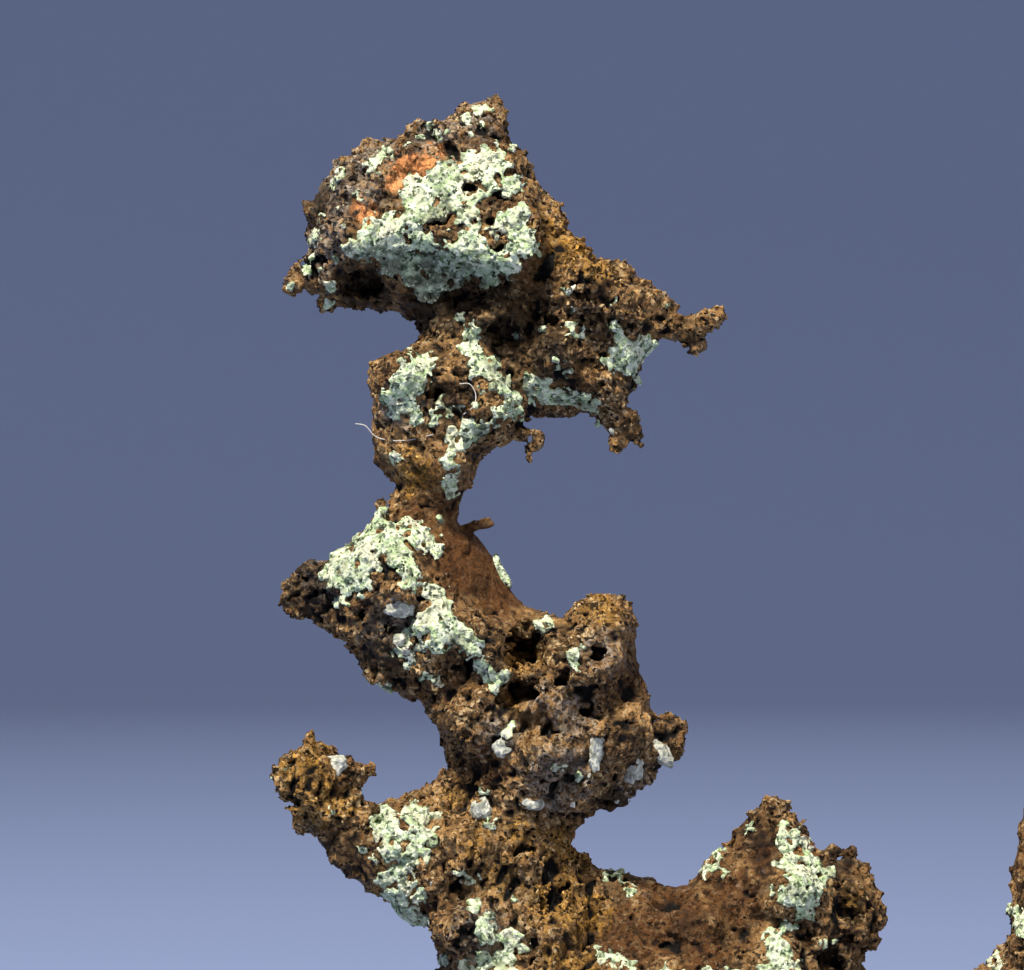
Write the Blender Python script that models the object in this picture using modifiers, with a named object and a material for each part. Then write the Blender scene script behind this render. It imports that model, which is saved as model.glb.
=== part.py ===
"""Native copper nugget: a branching lump of weathered copper on a low, lumpy base.

The copper is grown from limbs. A limb is an outline in the XZ plane, packed with balls that
just touch the outline, so that it is round in section and as wide as its outline. The packed
limbs are remeshed into one body, roughened, pitted, cut flat where the base rests and parted
at the main forks. Malachite crusts and calcite grains are laid on the finished copper.

All lengths are in millimetres in this script and are scaled to metres at the mesh.
+Z is up, -Y is the front, the origin is on the ground below the middle of the box.
"""

import math
from dataclasses import dataclass, field

import bmesh
import bpy
import numpy as np
from mathutils import Matrix, Vector
from mathutils.bvhtree import BVHTree

MM = 0.001

# Driving dimensions, in millimetres.
FORK_GAP = 0.3
CRUST_GAP = 0.42
CRUST_PROUD = 0.95
CRUST_BULGE = 0.25
BALL_PITCH = 0.42
SMALLEST_BALL = 0.3
FINE_BAND = 0.95
SPARSE_STEP = 3
CUT_DEPTH = 30.0
GROUND_BLOCK = (60.0, 40.0, 10.0)
FRONT_PLANE = -40.0
COPPER_VOXEL = 0.3
PIT_VOXEL = 0.24
CRUST_VOXEL = 0.26
RIM_VOXEL = 0.17
GRAIN_VOXEL = 0.11
LUMP_SIZE = 2.6
LUMP_HEIGHT = 0.9
NODULE_SIZE = 1.25
NODULE_HEIGHT = 0.55

# Triangle budgets.
COPPER_TRIANGLES = 5900
CRUST_TRIANGLES_AT_LEAST = 40
CRUST_TRIANGLES_PER_MM2 = 4.2
GRAIN_TRIANGLES = 64

COPPER_BROWN = (0.16, 0.07, 0.03)
MALACHITE_MINT = (0.52, 0.68, 0.48)
CALCITE_GREY = (0.55, 0.56, 0.53)


@dataclass
class Limb:
    """An outline seen from the front, and how its balls lie in depth."""

    outline: list
    depth: float
    squash: float = 1.0
    back: float = 0.0
    lean_x: float = 0.0
    lean_z: float = 0.0
    lumps: list = field(default_factory=list)


# Outlines are (x, z) points. Lumps are (x, y, z, radius).
CROWN = Limb(
    outline=[
        (-9.0, 51.9), (-8.7, 51.3), (-8.9, 50.9), (-8.6, 50.2), (-8.0, 49.5), (-7.3, 48.6),
        (-7.0, 47.9), (-7.1, 47.2), (-6.9, 46.8), (-6.2, 46.0), (-5.3, 45.1), (-4.8, 44.4),
        (-6.5, 43.5), (-8.0, 42.4), (-10.0, 41.4), (-12.6, 40.8), (-13.4, 41.0), (-14.0, 41.2),
        (-14.8, 41.6), (-15.5, 41.2), (-16.1, 41.5), (-17.3, 41.5), (-17.7, 41.3), (-18.0, 42.3),
        (-18.5, 42.6), (-18.9, 42.2), (-19.5, 42.3), (-19.3, 43.4), (-18.8, 44.1), (-18.5, 44.5),
        (-18.5, 45.2), (-18.1, 46.0), (-18.6, 46.5), (-18.1, 46.9), (-17.6, 47.6), (-17.7, 48.3),
        (-17.5, 49.0), (-16.3, 49.2), (-15.5, 49.8), (-15.0, 49.8), (-14.3, 49.4), (-13.8, 50.0),
        (-13.1, 50.3), (-12.4, 50.9), (-11.2, 51.2), (-10.4, 51.7), (-9.6, 52.0),
    ],
    depth=2.3, squash=1.25, back=1.0,
    lumps=[(-19.1, 0.4, 42.7, 0.5), (-18.1, 0.6, 46.5, 0.6), (-9.1, 0.9, 51.6, 0.5),
           (-7.5, 0.9, 47.9, 0.6), (-18.3, 0.4, 45.0, 0.5), (-15.0, 3.4, 46.6, 1.8),
           (-10.8, 3.2, 45.2, 2.2)],
)
CROWN_HOOD = Limb(
    outline=[
        (-9.2, 51.5), (-7.6, 48.7), (-7.2, 46.6), (-6.9, 44.8), (-7.9, 43.0), (-9.5, 43.2),
        (-10.8, 43.6), (-12.6, 44.2), (-14.6, 44.0), (-17.0, 43.9), (-17.6, 45.5), (-17.2, 48.3),
        (-15.2, 49.2), (-12.5, 50.6),
    ],
    depth=1.2, squash=1.0, back=-1.9, lean_z=0.42, lean_x=-0.06,
)
CROWN_BRANCH = Limb(
    outline=[
        (-7.5, 47.4), (-6.2, 46.3), (-5.3, 45.2), (-4.6, 44.4), (-3.3, 43.9), (-2.7, 43.7),
        (-2.2, 43.0), (-1.1, 42.2), (-0.2, 41.5), (0.8, 41.4), (1.3, 41.6), (1.9, 41.3),
        (2.2, 40.7), (2.0, 40.1), (1.2, 40.1), (1.2, 39.4), (0.1, 39.4), (0.0, 40.0),
        (-1.1, 40.0), (-1.5, 39.2), (-2.2, 38.6), (-2.0, 37.6), (-2.6, 36.9), (-2.5, 36.2),
        (-2.1, 35.2), (-2.3, 34.5), (-3.2, 34.5), (-3.7, 35.1), (-4.1, 35.7), (-4.0, 36.2),
        (-5.2, 36.3), (-6.3, 36.5), (-7.3, 36.3), (-9.0, 37.0), (-11.0, 38.4), (-12.5, 40.1),
        (-12.3, 41.4), (-10.0, 43.5),
    ],
    depth=1.9, squash=1.2, back=0.4, lean_x=-0.1,
    lumps=[(-4.6, -2.6, 42.8, 1.1), (-3.0, -1.9, 41.4, 1.0), (-6.3, -1.9, 39.2, 1.2),
           (-9.3, -1.5, 41.2, 1.1), (-4.2, 2.6, 41.0, 1.7), (-7.0, 3.2, 43.0, 1.6),
           (0.6, -0.5, 39.9, 0.55), (1.7, -0.5, 40.8, 0.55), (-2.5, 0.0, 35.1, 0.45),
           (-3.4, 0.0, 35.1, 0.45), (-2.4, 0.0, 37.6, 0.5)],
)
NECK = Limb(
    outline=[
        (-12.6, 41.2), (-12.6, 40.3), (-13.3, 39.9), (-14.1, 39.2), (-15.0, 38.9), (-15.5, 38.1),
        (-15.4, 37.3), (-15.7, 36.5), (-15.4, 35.4), (-15.2, 34.2), (-14.8, 33.4), (-14.5, 32.3),
        (-14.7, 31.3), (-14.6, 30.0), (-10.2, 30.0), (-11.0, 31.3), (-11.3, 31.8), (-10.6, 32.0),
        (-10.4, 32.7), (-10.2, 33.5), (-9.8, 34.2), (-9.0, 34.6), (-8.2, 35.0), (-7.5, 35.6),
        (-7.5, 36.3), (-8.0, 37.6), (-9.2, 39.6), (-10.0, 41.6),
    ],
    depth=2.5, squash=1.05, back=-0.1,
    lumps=[(-13.9, -2.3, 37.8, 1.2), (-9.4, -1.9, 36.6, 1.2), (-11.5, -2.3, 33.6, 0.9),
           (-12.9, 2.4, 36.2, 1.9), (-9.8, 2.2, 38.0, 1.6), (-7.5, -0.2, 35.1, 0.4),
           (-7.5, -0.3, 34.6, 0.35), (-10.8, -0.4, 33.2, 0.6), (-10.9, -0.4, 32.4, 0.5)],
)
LEFT_POINT = Limb(
    outline=[
        (-14.5, 31.6), (-15.0, 30.9), (-15.7, 30.6), (-16.0, 29.9), (-16.8, 29.3), (-17.7, 29.0),
        (-18.6, 28.6), (-19.7, 28.1), (-20.2, 27.4), (-20.1, 26.6), (-19.2, 26.0), (-17.8, 25.4),
        (-16.7, 24.8), (-16.0, 23.9), (-15.2, 22.9), (-14.2, 22.3), (-12.9, 21.8), (-12.7, 20.9),
        (-11.9, 20.1), (-10.0, 21.5), (-9.4, 25.0), (-10.5, 28.0), (-11.6, 30.5),
    ],
    depth=2.2, squash=1.25, back=-0.8, lean_x=-0.12,
    lumps=[(-13.8, -3.0, 27.6, 1.4), (-12.1, -3.3, 25.2, 1.3), (-15.4, 2.2, 26.2, 1.9)],
)
FACET = Limb(
    outline=[
        (-11.4, 31.9), (-10.9, 31.0), (-10.4, 30.6), (-9.5, 30.5), (-9.2, 29.8), (-8.6, 28.6),
        (-8.1, 27.6), (-7.3, 26.8), (-6.4, 26.1), (-6.6, 23.5), (-10.5, 23.0), (-13.5, 28.0),
        (-14.2, 31.0),
    ],
    depth=1.6, squash=1.1, back=0.1, lean_x=0.42, lean_z=0.18,
)
BODY = Limb(
    outline=[
        (-7.0, 26.3), (-6.0, 26.1), (-5.0, 26.5), (-3.9, 27.0), (-3.2, 27.3), (-2.9, 26.6),
        (-2.1, 25.7), (-2.3, 25.2), (-2.4, 24.0), (-1.9, 23.2), (-1.5, 22.3), (-1.6, 21.5),
        (-1.1, 21.2), (-0.6, 21.5), (-0.1, 21.3), (0.1, 20.6), (0.1, 19.7), (-0.4, 18.9),
        (-1.3, 18.2), (-2.3, 17.5), (-2.7, 16.8), (-3.7, 16.3), (-4.5, 16.2), (-5.1, 15.6),
        (-5.4, 14.5), (-12.0, 14.5), (-12.0, 18.0), (-11.4, 18.8), (-11.8, 19.9), (-12.6, 20.8),
        (-12.6, 22.5), (-10.4, 25.8),
    ],
    depth=3.1, squash=1.15, back=-0.4,
    lumps=[(-9.0, 3.4, 22.0, 2.6), (-4.6, 2.9, 21.0, 2.2), (-3.7, -2.7, 25.2, 1.5),
           (-4.9, -3.4, 23.5, 1.4), (-9.6, -3.4, 24.6, 1.3), (-3.2, -2.9, 20.3, 1.6),
           (-7.2, -3.6, 19.5, 1.5), (-10.4, -3.2, 20.7, 1.3), (-3.3, -0.6, 26.8, 0.55),
           (-0.3, -0.4, 20.9, 0.6), (-0.3, -0.4, 20.1, 0.6)],
)
REAR_SPUR = Limb(
    outline=[(-10.6, 20.0), (-10.9, 23.5), (-9.8, 26.2), (-8.6, 28.0), (-7.7, 27.2), (-7.4, 24.6),
             (-6.4, 21.6), (-7.0, 19.2)],
    depth=1.7, squash=1.1, back=6.2, lean_z=0.45,
)
STEM = Limb(
    outline=[
        (-12.0, 18.0), (-12.1, 14.0), (-12.4, 10.6), (-12.2, 9.4), (-11.9, 8.2), (-12.2, 6.2),
        (-3.0, 6.0), (-3.6, 12.8), (-4.6, 13.2), (-5.1, 13.9), (-5.3, 14.6), (-5.2, 15.4),
        (-4.9, 16.0), (-5.4, 18.0),
    ],
    depth=3.3, squash=1.15, back=0.2,
    lumps=[(-10.9, -3.2, 10.6, 1.5), (-10.6, -2.9, 14.6, 1.4), (-6.4, -3.1, 10.4, 1.3),
           (-8.4, 3.4, 12.0, 2.3)],
)
KNOB_BRANCH = Limb(
    outline=[
        (-20.2, 18.0), (-19.9, 18.8), (-19.1, 19.3), (-18.9, 19.9), (-18.2, 20.1), (-18.1, 19.4),
        (-17.2, 19.3), (-16.4, 19.4), (-16.2, 18.7), (-15.8, 18.3), (-16.1, 17.5), (-16.3, 16.4),
        (-15.7, 16.9), (-15.0, 17.3), (-14.2, 17.0), (-13.2, 17.0), (-12.3, 17.4), (-11.8, 18.3),
        (-10.0, 18.0), (-10.4, 12.0), (-12.3, 10.5), (-13.5, 10.8), (-14.3, 11.5), (-14.6, 12.4),
        (-16.2, 12.5), (-16.7, 13.2), (-17.1, 14.2), (-18.1, 14.9), (-19.1, 15.6), (-19.1, 16.3),
        (-19.8, 17.1),
    ],
    depth=1.9, squash=1.2, back=-0.9,
    lumps=[(-18.3, -2.0, 17.6, 1.2), (-13.6, -2.3, 14.8, 1.5), (-14.6, 1.6, 14.6, 1.7),
           (-18.5, -0.9, 19.6, 0.55), (-16.7, -0.9, 19.0, 0.5), (-15.7, -0.9, 18.2, 0.4),
           (-15.35, -0.9, 18.4, 0.35), (-18.6, -0.9, 15.9, 0.6)],
)
RIGHT_BRANCH = Limb(
    outline=[
        (-5.2, 13.9), (-4.6, 13.2), (-3.2, 13.3), (-2.0, 12.9), (-1.2, 12.6), (0.1, 12.6),
        (1.0, 13.2), (1.6, 14.0), (2.6, 14.8), (2.8, 15.6), (3.5, 16.0), (4.0, 16.9),
        (5.0, 16.8), (5.4, 16.1), (6.3, 15.3), (6.9, 14.2), (7.3, 13.6), (7.8, 14.2),
        (8.8, 13.7), (9.6, 13.0), (10.1, 11.8), (10.1, 10.9), (9.7, 9.8), (9.0, 9.1),
        (9.2, 7.8), (10.2, 6.6), (-6.0, 6.0),
    ],
    depth=2.4, squash=1.2, back=0.3,
    lumps=[(5.4, -2.4, 12.4, 1.5), (0.6, -2.3, 10.4, 1.5), (4.6, -2.2, 9.4, 1.4),
           (-2.6, -2.2, 9.2, 1.3), (3.6, 2.8, 11.6, 2.0), (8.6, -1.0, 10.6, 1.3),
           (4.4, 0.3, 16.4, 0.6), (3.1, 0.3, 15.5, 0.5)],
)
OUTER_BRANCH = Limb(
    outline=[
        (17.1, 15.7), (17.5, 16.8), (17.9, 17.9), (18.5, 18.5), (19.2, 18.3), (19.5, 17.1),
        (20.0, 15.8), (20.2, 14.4), (19.9, 12.8), (20.2, 11.4), (19.8, 9.9), (19.5, 8.2),
        (19.7, 5.8), (13.2, 5.0), (13.9, 7.2), (14.8, 8.3), (15.4, 8.9), (16.1, 9.3),
        (16.3, 10.5), (16.7, 11.7), (16.8, 12.8), (16.7, 14.2),
    ],
    depth=1.8, squash=1.25, back=0.6,
    lumps=[(18.2, -1.6, 12.6, 1.1), (18.6, 1.9, 15.4, 1.2), (17.2, -1.7, 9.4, 1.3)],
)
BASE_FRONT = Limb(
    outline=[
        (-11.9, 8.8), (-12.5, 7.2), (-13.7, 6.3), (-13.4, 5.0), (-14.7, 3.9), (-15.2, 2.2),
        (-14.6, 0.8), (-14.9, -1.5), (-8.9, -1.5), (-8.5, 0.8), (-7.2, 1.7), (-5.6, 1.2),
        (-4.9, -1.5), (1.6, -1.5), (2.0, 1.0), (3.4, 2.2), (4.6, 4.6), (5.8, 6.0),
        (7.4, 6.6), (8.8, 9.3), (2.0, 10.0), (-6.0, 10.0),
    ],
    depth=3.1, squash=1.2, back=-2.6, lean_z=0.22,
    lumps=[(-12.2, -5.0, 3.4, 1.7), (-8.6, -5.2, 5.9, 1.6), (-3.4, -5.6, 3.2, 1.9),
           (-0.6, -4.9, 6.4, 1.5), (3.6, -4.2, 6.4, 1.5)],
)
BASE_REAR = Limb(
    outline=[
        (-9.4, 8.6), (-10.3, 6.6), (-9.5, 4.9), (-10.2, 3.2), (-8.8, 1.6), (-6.2, 2.2),
        (-3.6, 1.2), (-3.0, -1.5), (2.6, -1.5), (3.2, 0.8), (4.6, 1.7), (6.0, 0.9),
        (6.5, -1.5), (12.2, -1.5), (12.6, 1.0), (13.8, 2.4), (13.3, 4.4), (12.0, 5.8),
        (10.6, 6.2), (9.6, 7.6), (9.0, 9.1), (1.0, 10.0),
    ],
    depth=3.2, squash=1.2, back=2.9, lean_z=-0.2,
    lumps=[(-6.8, 5.6, 5.6, 1.9), (-1.2, 6.0, 3.4, 1.8), (3.8, 5.9, 5.8, 1.8),
           (9.6, 5.0, 3.2, 1.9)],
)
BASE_END = Limb(
    outline=[
        (9.0, 7.4), (7.9, 4.6), (8.4, 1.4), (7.4, -1.5), (10.8, -1.5), (11.5, 0.9),
        (13.2, 1.9), (14.4, 0.9), (14.9, -1.5), (18.7, -1.5), (18.6, 0.8), (19.8, 2.3),
        (19.4, 4.2), (20.0, 5.8), (19.6, 8.2), (14.7, 8.3), (13.8, 7.1), (12.4, 5.9),
        (11.0, 6.3), (10.0, 7.6),
    ],
    depth=2.7, squash=1.25, back=-0.6,
    lumps=[(16.6, -3.0, 4.0, 1.6), (12.0, -3.2, 3.4, 1.6), (17.4, 2.2, 5.0, 1.6)],
)
LIMBS = (CROWN, CROWN_HOOD, CROWN_BRANCH, NECK, LEFT_POINT, FACET, BODY, REAR_SPUR, STEM,
         KNOB_BRANCH, RIGHT_BRANCH, OUTER_BRANCH, BASE_FRONT, BASE_REAR, BASE_END)

# Pits and cavities: centre (x, y, z) and radii (x, y, z).
PITS = (
    ((-7.9, -4.9, 24.5), (1.0, 2.4, 1.1)),
    ((-7.9, -5.2, 22.7), (1.1, 2.6, 0.55)),
    ((-7.2, -5.7, 21.0), (1.5, 1.7, 0.8)),
    ((-5.8, -5.4, 23.0), (0.5, 2.0, 0.45)),
    ((-10.8, -4.6, 23.4), (0.6, 1.8, 0.5)),
    ((-4.2, -4.7, 24.3), (0.5, 1.5, 0.5)),
    ((-9.4, -5.1, 25.5), (0.5, 1.3, 0.5)),
    ((-15.8, -2.9, 42.6), (1.5, 2.8, 0.65)),
    ((-10.3, -3.4, 42.2), (2.0, 1.9, 0.6)),
    ((-12.3, -3.6, 37.1), (0.7, 1.5, 0.7)),
    ((-7.7, -2.9, 40.4), (0.8, 1.4, 0.8)),
    ((-15.0, -2.1, 15.9), (0.6, 1.4, 0.8)),
    ((-7.9, -4.6, 11.0), (0.35, 1.6, 1.1)),
    ((7.1, -2.9, 8.9), (0.8, 2.0, 0.7)),
    ((-6.4, 6.0, 16.6), (1.6, 2.6, 1.2)),
    ((-10.2, -6.6, 2.4), (1.1, 1.9, 0.9)),
    ((-5.7, -6.4, 4.6), (1.0, 1.8, 0.8)),
    ((14.4, -3.8, 4.9), (0.9, 1.6, 0.8)),
    ((1.4, 7.4, 3.2), (1.3, 1.9, 1.0)),
)

# Cuts at the forks: the ends of each cut as seen from the front.
FORKS = (
    ((-13.5, 40.4), (-3.9, 44.8)),
    ((-13.5, 40.5), (-6.8, 35.8)),
    ((-16.0, 31.9), (-10.2, 31.2)),
    ((-15.4, 32.2), (-14.9, 21.6)),
    ((-12.5, 19.0), (-3.9, 15.4)),
    ((-12.4, 18.9), (-12.9, 9.4)),
    ((-4.5, 14.6), (-4.7, 7.2)),
    ((-13.4, 7.5), (21.0, 7.5)),
)

# A point inside each part of the copper, which finds it after the cuts.
COPPER_PARTS = {
    "base": (0.0, 0.0, 4.0),
    "stem": (-8.5, 0.0, 12.0),
    "knob_branch": (-16.5, -0.9, 14.8),
    "right_branch": (3.5, 0.3, 11.5),
    "outer_branch": (18.3, 0.6, 12.0),
    "trunk": (-8.5, 0.0, 22.0),
    "left_point": (-17.0, -0.8, 27.0),
    "neck": (-12.8, 0.0, 35.5),
    "crown_branch": (-5.5, 0.4, 40.5),
    "crown": (-12.5, 0.8, 47.0),
}

# Crust patches: dabs (x, z, radius) laid on the front of the copper.
CRUSTS = {
    "crown_crust": [
        (-13.2, 46.9, 1.0), (-12.2, 46.9, 1.1), (-11.2, 46.7, 1.0), (-12.2, 48.0, 0.8),
        (-10.3, 48.5, 0.8), (-9.4, 49.0, 0.7), (-9.4, 47.8, 0.8), (-8.5, 47.3, 0.7),
        (-10.6, 45.6, 0.8), (-9.4, 45.4, 0.8), (-8.4, 45.6, 1.0), (-7.9, 44.6, 0.9),
        (-8.6, 43.6, 0.7), (-10.0, 43.6, 0.8), (-11.2, 43.4, 0.9), (-12.3, 43.4, 0.9),
        (-13.4, 43.8, 0.9), (-14.4, 44.4, 0.9), (-15.4, 44.6, 0.9), (-16.2, 44.2, 0.7),
        (-14.2, 45.6, 0.8), (-15.3, 45.5, 0.6), (-12.6, 44.6, 0.8), (-11.2, 44.6, 0.7),
    ],
    "branch_lump_crust": [
        (-3.4, 38.7, 0.6), (-2.8, 38.9, 0.8), (-2.1, 39.4, 0.8), (-1.5, 39.6, 0.6),
        (-2.9, 39.8, 0.5), (-3.2, 40.3, 0.35),
    ],
    "branch_hem_crust": [
        (-7.4, 37.5, 0.6), (-6.7, 37.2, 0.6), (-6.1, 36.9, 0.5), (-5.5, 36.8, 0.5),
        (-4.9, 36.9, 0.6), (-4.3, 36.5, 0.4),
    ],
    "neck_left_crust": [
        (-13.4, 38.2, 0.8), (-12.6, 38.5, 0.6), (-13.6, 37.3, 0.8), (-14.6, 36.9, 0.5),
        (-13.5, 36.4, 0.6), (-12.9, 37.6, 0.5),
    ],
    "neck_stripe_crust": [
        (-10.3, 40.3, 0.6), (-10.5, 39.3, 0.6), (-9.9, 38.8, 0.7), (-9.4, 38.0, 0.7),
        (-8.6, 37.5, 0.6), (-8.3, 36.6, 0.5),
    ],
    "neck_drip_crust": [
        (-12.2, 35.7, 0.5), (-11.3, 35.1, 0.6), (-10.5, 35.1, 0.8), (-11.4, 34.3, 0.5),
        (-11.5, 33.6, 0.5), (-11.4, 32.9, 0.5), (-11.4, 32.3, 0.5),
    ],
    "point_crust": [
        (-14.9, 30.7, 0.5), (-15.5, 29.8, 0.8), (-14.4, 29.9, 0.7), (-16.8, 29.0, 0.7),
        (-17.3, 28.0, 0.8), (-16.6, 27.8, 0.8), (-15.6, 28.9, 0.7), (-14.0, 29.2, 0.7),
        (-13.4, 28.4, 0.7), (-12.9, 30.0, 0.7), (-12.5, 29.5, 0.5), (-13.4, 27.9, 0.6),
        (-12.2, 27.3, 0.6), (-11.9, 26.4, 0.7), (-11.6, 25.5, 0.8), (-12.2, 24.9, 0.6),
        (-10.9, 25.3, 0.7), (-10.4, 24.6, 0.5), (-9.9, 23.8, 0.45), (-9.5, 23.0, 0.5),
        (-12.7, 25.6, 0.5), (-13.5, 25.0, 0.5),
    ],
    "knob_arm_crust": [
        (-14.5, 16.3, 0.6), (-13.4, 16.3, 0.6), (-12.7, 16.2, 0.4), (-14.3, 15.3, 0.8),
        (-13.2, 15.6, 0.7), (-14.4, 14.6, 0.7), (-14.0, 13.5, 0.7), (-13.6, 12.7, 0.6),
        (-14.0, 11.9, 0.6), (-13.4, 11.2, 0.6),
    ],
    "stem_crust": [
        (-10.2, 11.9, 0.45), (-9.6, 11.1, 0.6), (-9.6, 10.3, 0.6), (-8.4, 10.3, 0.6),
        (-8.8, 9.4, 0.7), (-9.8, 9.1, 0.7), (-7.8, 9.8, 0.4), (-10.3, 8.7, 0.5),
        (-8.7, 8.5, 0.6),
    ],
    "right_peak_crust": [
        (5.2, 14.7, 0.5), (5.3, 13.9, 0.7), (5.9, 13.2, 0.8), (5.2, 12.2, 0.7),
        (6.0, 12.1, 0.8), (6.5, 13.2, 0.5),
    ],
    "right_low_crust": [
        (5.1, 10.5, 0.6), (4.5, 10.2, 0.7), (4.8, 9.3, 0.8), (4.4, 8.4, 0.8),
        (3.4, 8.1, 0.6), (2.4, 8.3, 0.7), (1.2, 8.3, 0.7), (0.2, 8.2, 0.5),
    ],
    "outer_crust": [
        (17.2, 10.6, 0.8), (17.9, 10.3, 0.9), (17.5, 11.2, 0.5), (18.3, 11.0, 0.6),
    ],
}

# Calcite grains: centre (x, z), half sizes (along, across) and turn in degrees.
GRAINS = {
    "point_grain": ((-13.9, 26.7), (1.05, 0.75), 8.0),
    "body_grain": ((-8.8, 19.7), (0.75, 0.6), -30.0),
    "body_sliver": ((-4.25, 19.7), (0.45, 1.35), 4.0),
    "body_low_grain": ((-7.4, 16.9), (0.7, 0.5), 0.0),
    "stem_grain": ((-9.9, 16.6), (0.7, 0.65), 20.0),
    "lobe_grain_a": ((-2.35, 18.6), (0.5, 0.95), 6.0),
    "lobe_grain_b": ((-0.95, 19.2), (0.45, 0.9), -28.0),
    "knob_grain": ((-17.1, 18.7), (0.65, 0.6), -35.0),
}
GRAIN_HALF_DEPTH = 0.95
GRAIN_PROUD = 0.35
GRAIN_WOBBLE = 0.1
GRAIN_WAVE = Vector((7.0, 3.0, 5.0))


def clear_scene():
    """Start from an empty scene."""
    for old in list(bpy.data.objects):
        bpy.data.objects.remove(old, do_unlink=True)


def new_collection(name):
    """A collection in the scene."""
    collection = bpy.data.collections.new(name)
    bpy.context.scene.collection.children.link(collection)
    return collection


def new_material(name, colour, roughness, metallic):
    """A Principled material."""
    material = bpy.data.materials.new(name)
    material.use_nodes = True
    shader = material.node_tree.nodes["Principled BSDF"]
    shader.inputs["Base Color"].default_value = (*colour, 1.0)
    shader.inputs["Roughness"].default_value = roughness
    shader.inputs["Metallic"].default_value = metallic
    material.diffuse_color = (*colour, 1.0)
    return material


def new_object(name, mesh, collection):
    """An object for a mesh, linked into a collection."""
    thing = bpy.data.objects.new(name, mesh)
    collection.objects.link(thing)
    return thing


def bake(thing):
    """Replace an object's mesh with its evaluated one and drop the modifiers."""
    bpy.context.view_layer.update()
    graph = bpy.context.evaluated_depsgraph_get()
    mesh = bpy.data.meshes.new_from_object(thing.evaluated_get(graph))
    old = thing.data
    thing.modifiers.clear()
    thing.data = mesh
    bpy.data.meshes.remove(old)
    return thing


def add_remesh(thing, voxel):
    """Join everything in an object into one closed skin."""
    remesh = thing.modifiers.new("one skin", "REMESH")
    remesh.mode = "VOXEL"
    remesh.voxel_size = voxel * MM
    remesh.adaptivity = 0.0


def add_rough(thing, name, kind, size, height):
    """Push the skin in and out by a noise of a given grain size."""
    texture = bpy.data.textures.new(name, kind)
    texture.noise_scale = size * MM
    displace = thing.modifiers.new(name, "DISPLACE")
    displace.texture = texture
    displace.texture_coords = "LOCAL"
    displace.strength = height * MM
    displace.mid_level = 0.5


def add_decimate(thing, triangles):
    """Thin the mesh down to about a number of triangles."""
    have = sum(len(face.vertices) - 2 for face in thing.data.polygons)
    decimate = thing.modifiers.new("thin", "DECIMATE")
    decimate.ratio = min(1.0, triangles / max(have, 1))
    decimate.use_collapse_triangulate = True


def add_cut(thing, cutter):
    """Take a cutter away."""
    cut = thing.modifiers.new("cut " + cutter.name, "BOOLEAN")
    cut.operation = "DIFFERENCE"
    cut.object = cutter


def unit_ball(subdivisions):
    """Corners and faces of a ball of radius 1."""
    ball = bmesh.new()
    bmesh.ops.create_icosphere(ball, subdivisions=subdivisions, radius=1.0)
    corners = np.array([corner.co[:] for corner in ball.verts])
    faces = np.array([[corner.index for corner in face.verts] for face in ball.faces])
    ball.free()
    return corners, faces


def balls_mesh(name, centres, radii):
    """One mesh of many balls; radii holds a ball's three half sizes."""
    corners, faces = unit_ball(2)
    points = centres[:, None, :] + corners[None, :, :] * radii[:, None, :]
    starts = np.arange(len(centres)) * len(corners)
    shifted = faces[None, :, :] + starts[:, None, None]
    mesh = bpy.data.meshes.new(name)
    mesh.from_pydata((points.reshape(-1, 3) * MM).tolist(), [], shifted.reshape(-1, 3).tolist())
    return mesh


def inside_outline(outline, points):
    """Which points lie inside a closed outline, by counting the edges to their right."""
    within = np.zeros(len(points), dtype=bool)
    for (x0, z0), (x1, z1) in zip(outline, np.roll(outline, -1, axis=0)):
        spans = (z0 > points[:, 1]) != (z1 > points[:, 1])
        rise = z1 - z0 if z1 != z0 else 1.0
        reach = x0 + (points[:, 1] - z0) * (x1 - x0) / rise
        within ^= spans & (points[:, 0] < reach)
    return within


def distance_to_outline(outline, points):
    """How far each point is from the nearest edge of an outline."""
    nearest = np.full(len(points), np.inf)
    for start, end in zip(outline, np.roll(outline, -1, axis=0)):
        run = end - start
        along = np.clip((points - start) @ run / (run @ run), 0.0, 1.0)
        gap = np.linalg.norm(points - start - along[:, None] * run, axis=1)
        nearest = np.minimum(nearest, gap)
    return nearest


def packed_balls(limb):
    """Balls that fill a limb's outline: every place near the edge, every third one inside."""
    outline = np.array(limb.outline)
    low = outline.min(axis=0)
    high = outline.max(axis=0)
    columns, rows = ((high - low) / BALL_PITCH).astype(int) + 2
    column, row = np.meshgrid(np.arange(columns), np.arange(rows), indexing="ij")
    places = low + np.stack([column.ravel(), row.ravel()], axis=1) * BALL_PITCH
    sparse = (column.ravel() % SPARSE_STEP == 0) & (row.ravel() % SPARSE_STEP == 0)
    reach = distance_to_outline(outline, places)
    keep = inside_outline(outline, places) & (reach > SMALLEST_BALL)
    keep &= (reach < FINE_BAND) | sparse
    places = places[keep]
    radius = np.minimum(reach[keep], limb.depth)
    from_middle = places - (low + high) / 2
    depth = limb.back + from_middle @ np.array([limb.lean_x, limb.lean_z])
    centres = np.stack([places[:, 0], depth, places[:, 1]], axis=1)
    radii = np.stack([radius, radius * limb.squash, radius], axis=1)
    return centres, radii


def limb_balls(limb):
    """A limb's packed balls and its lumps."""
    centres, radii = packed_balls(limb)
    if limb.lumps:
        lumps = np.array(limb.lumps)
        centres = np.vstack([centres, lumps[:, :3]])
        radii = np.vstack([radii, np.repeat(lumps[:, 3:], 3, axis=1)])
    return centres, radii


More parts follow.
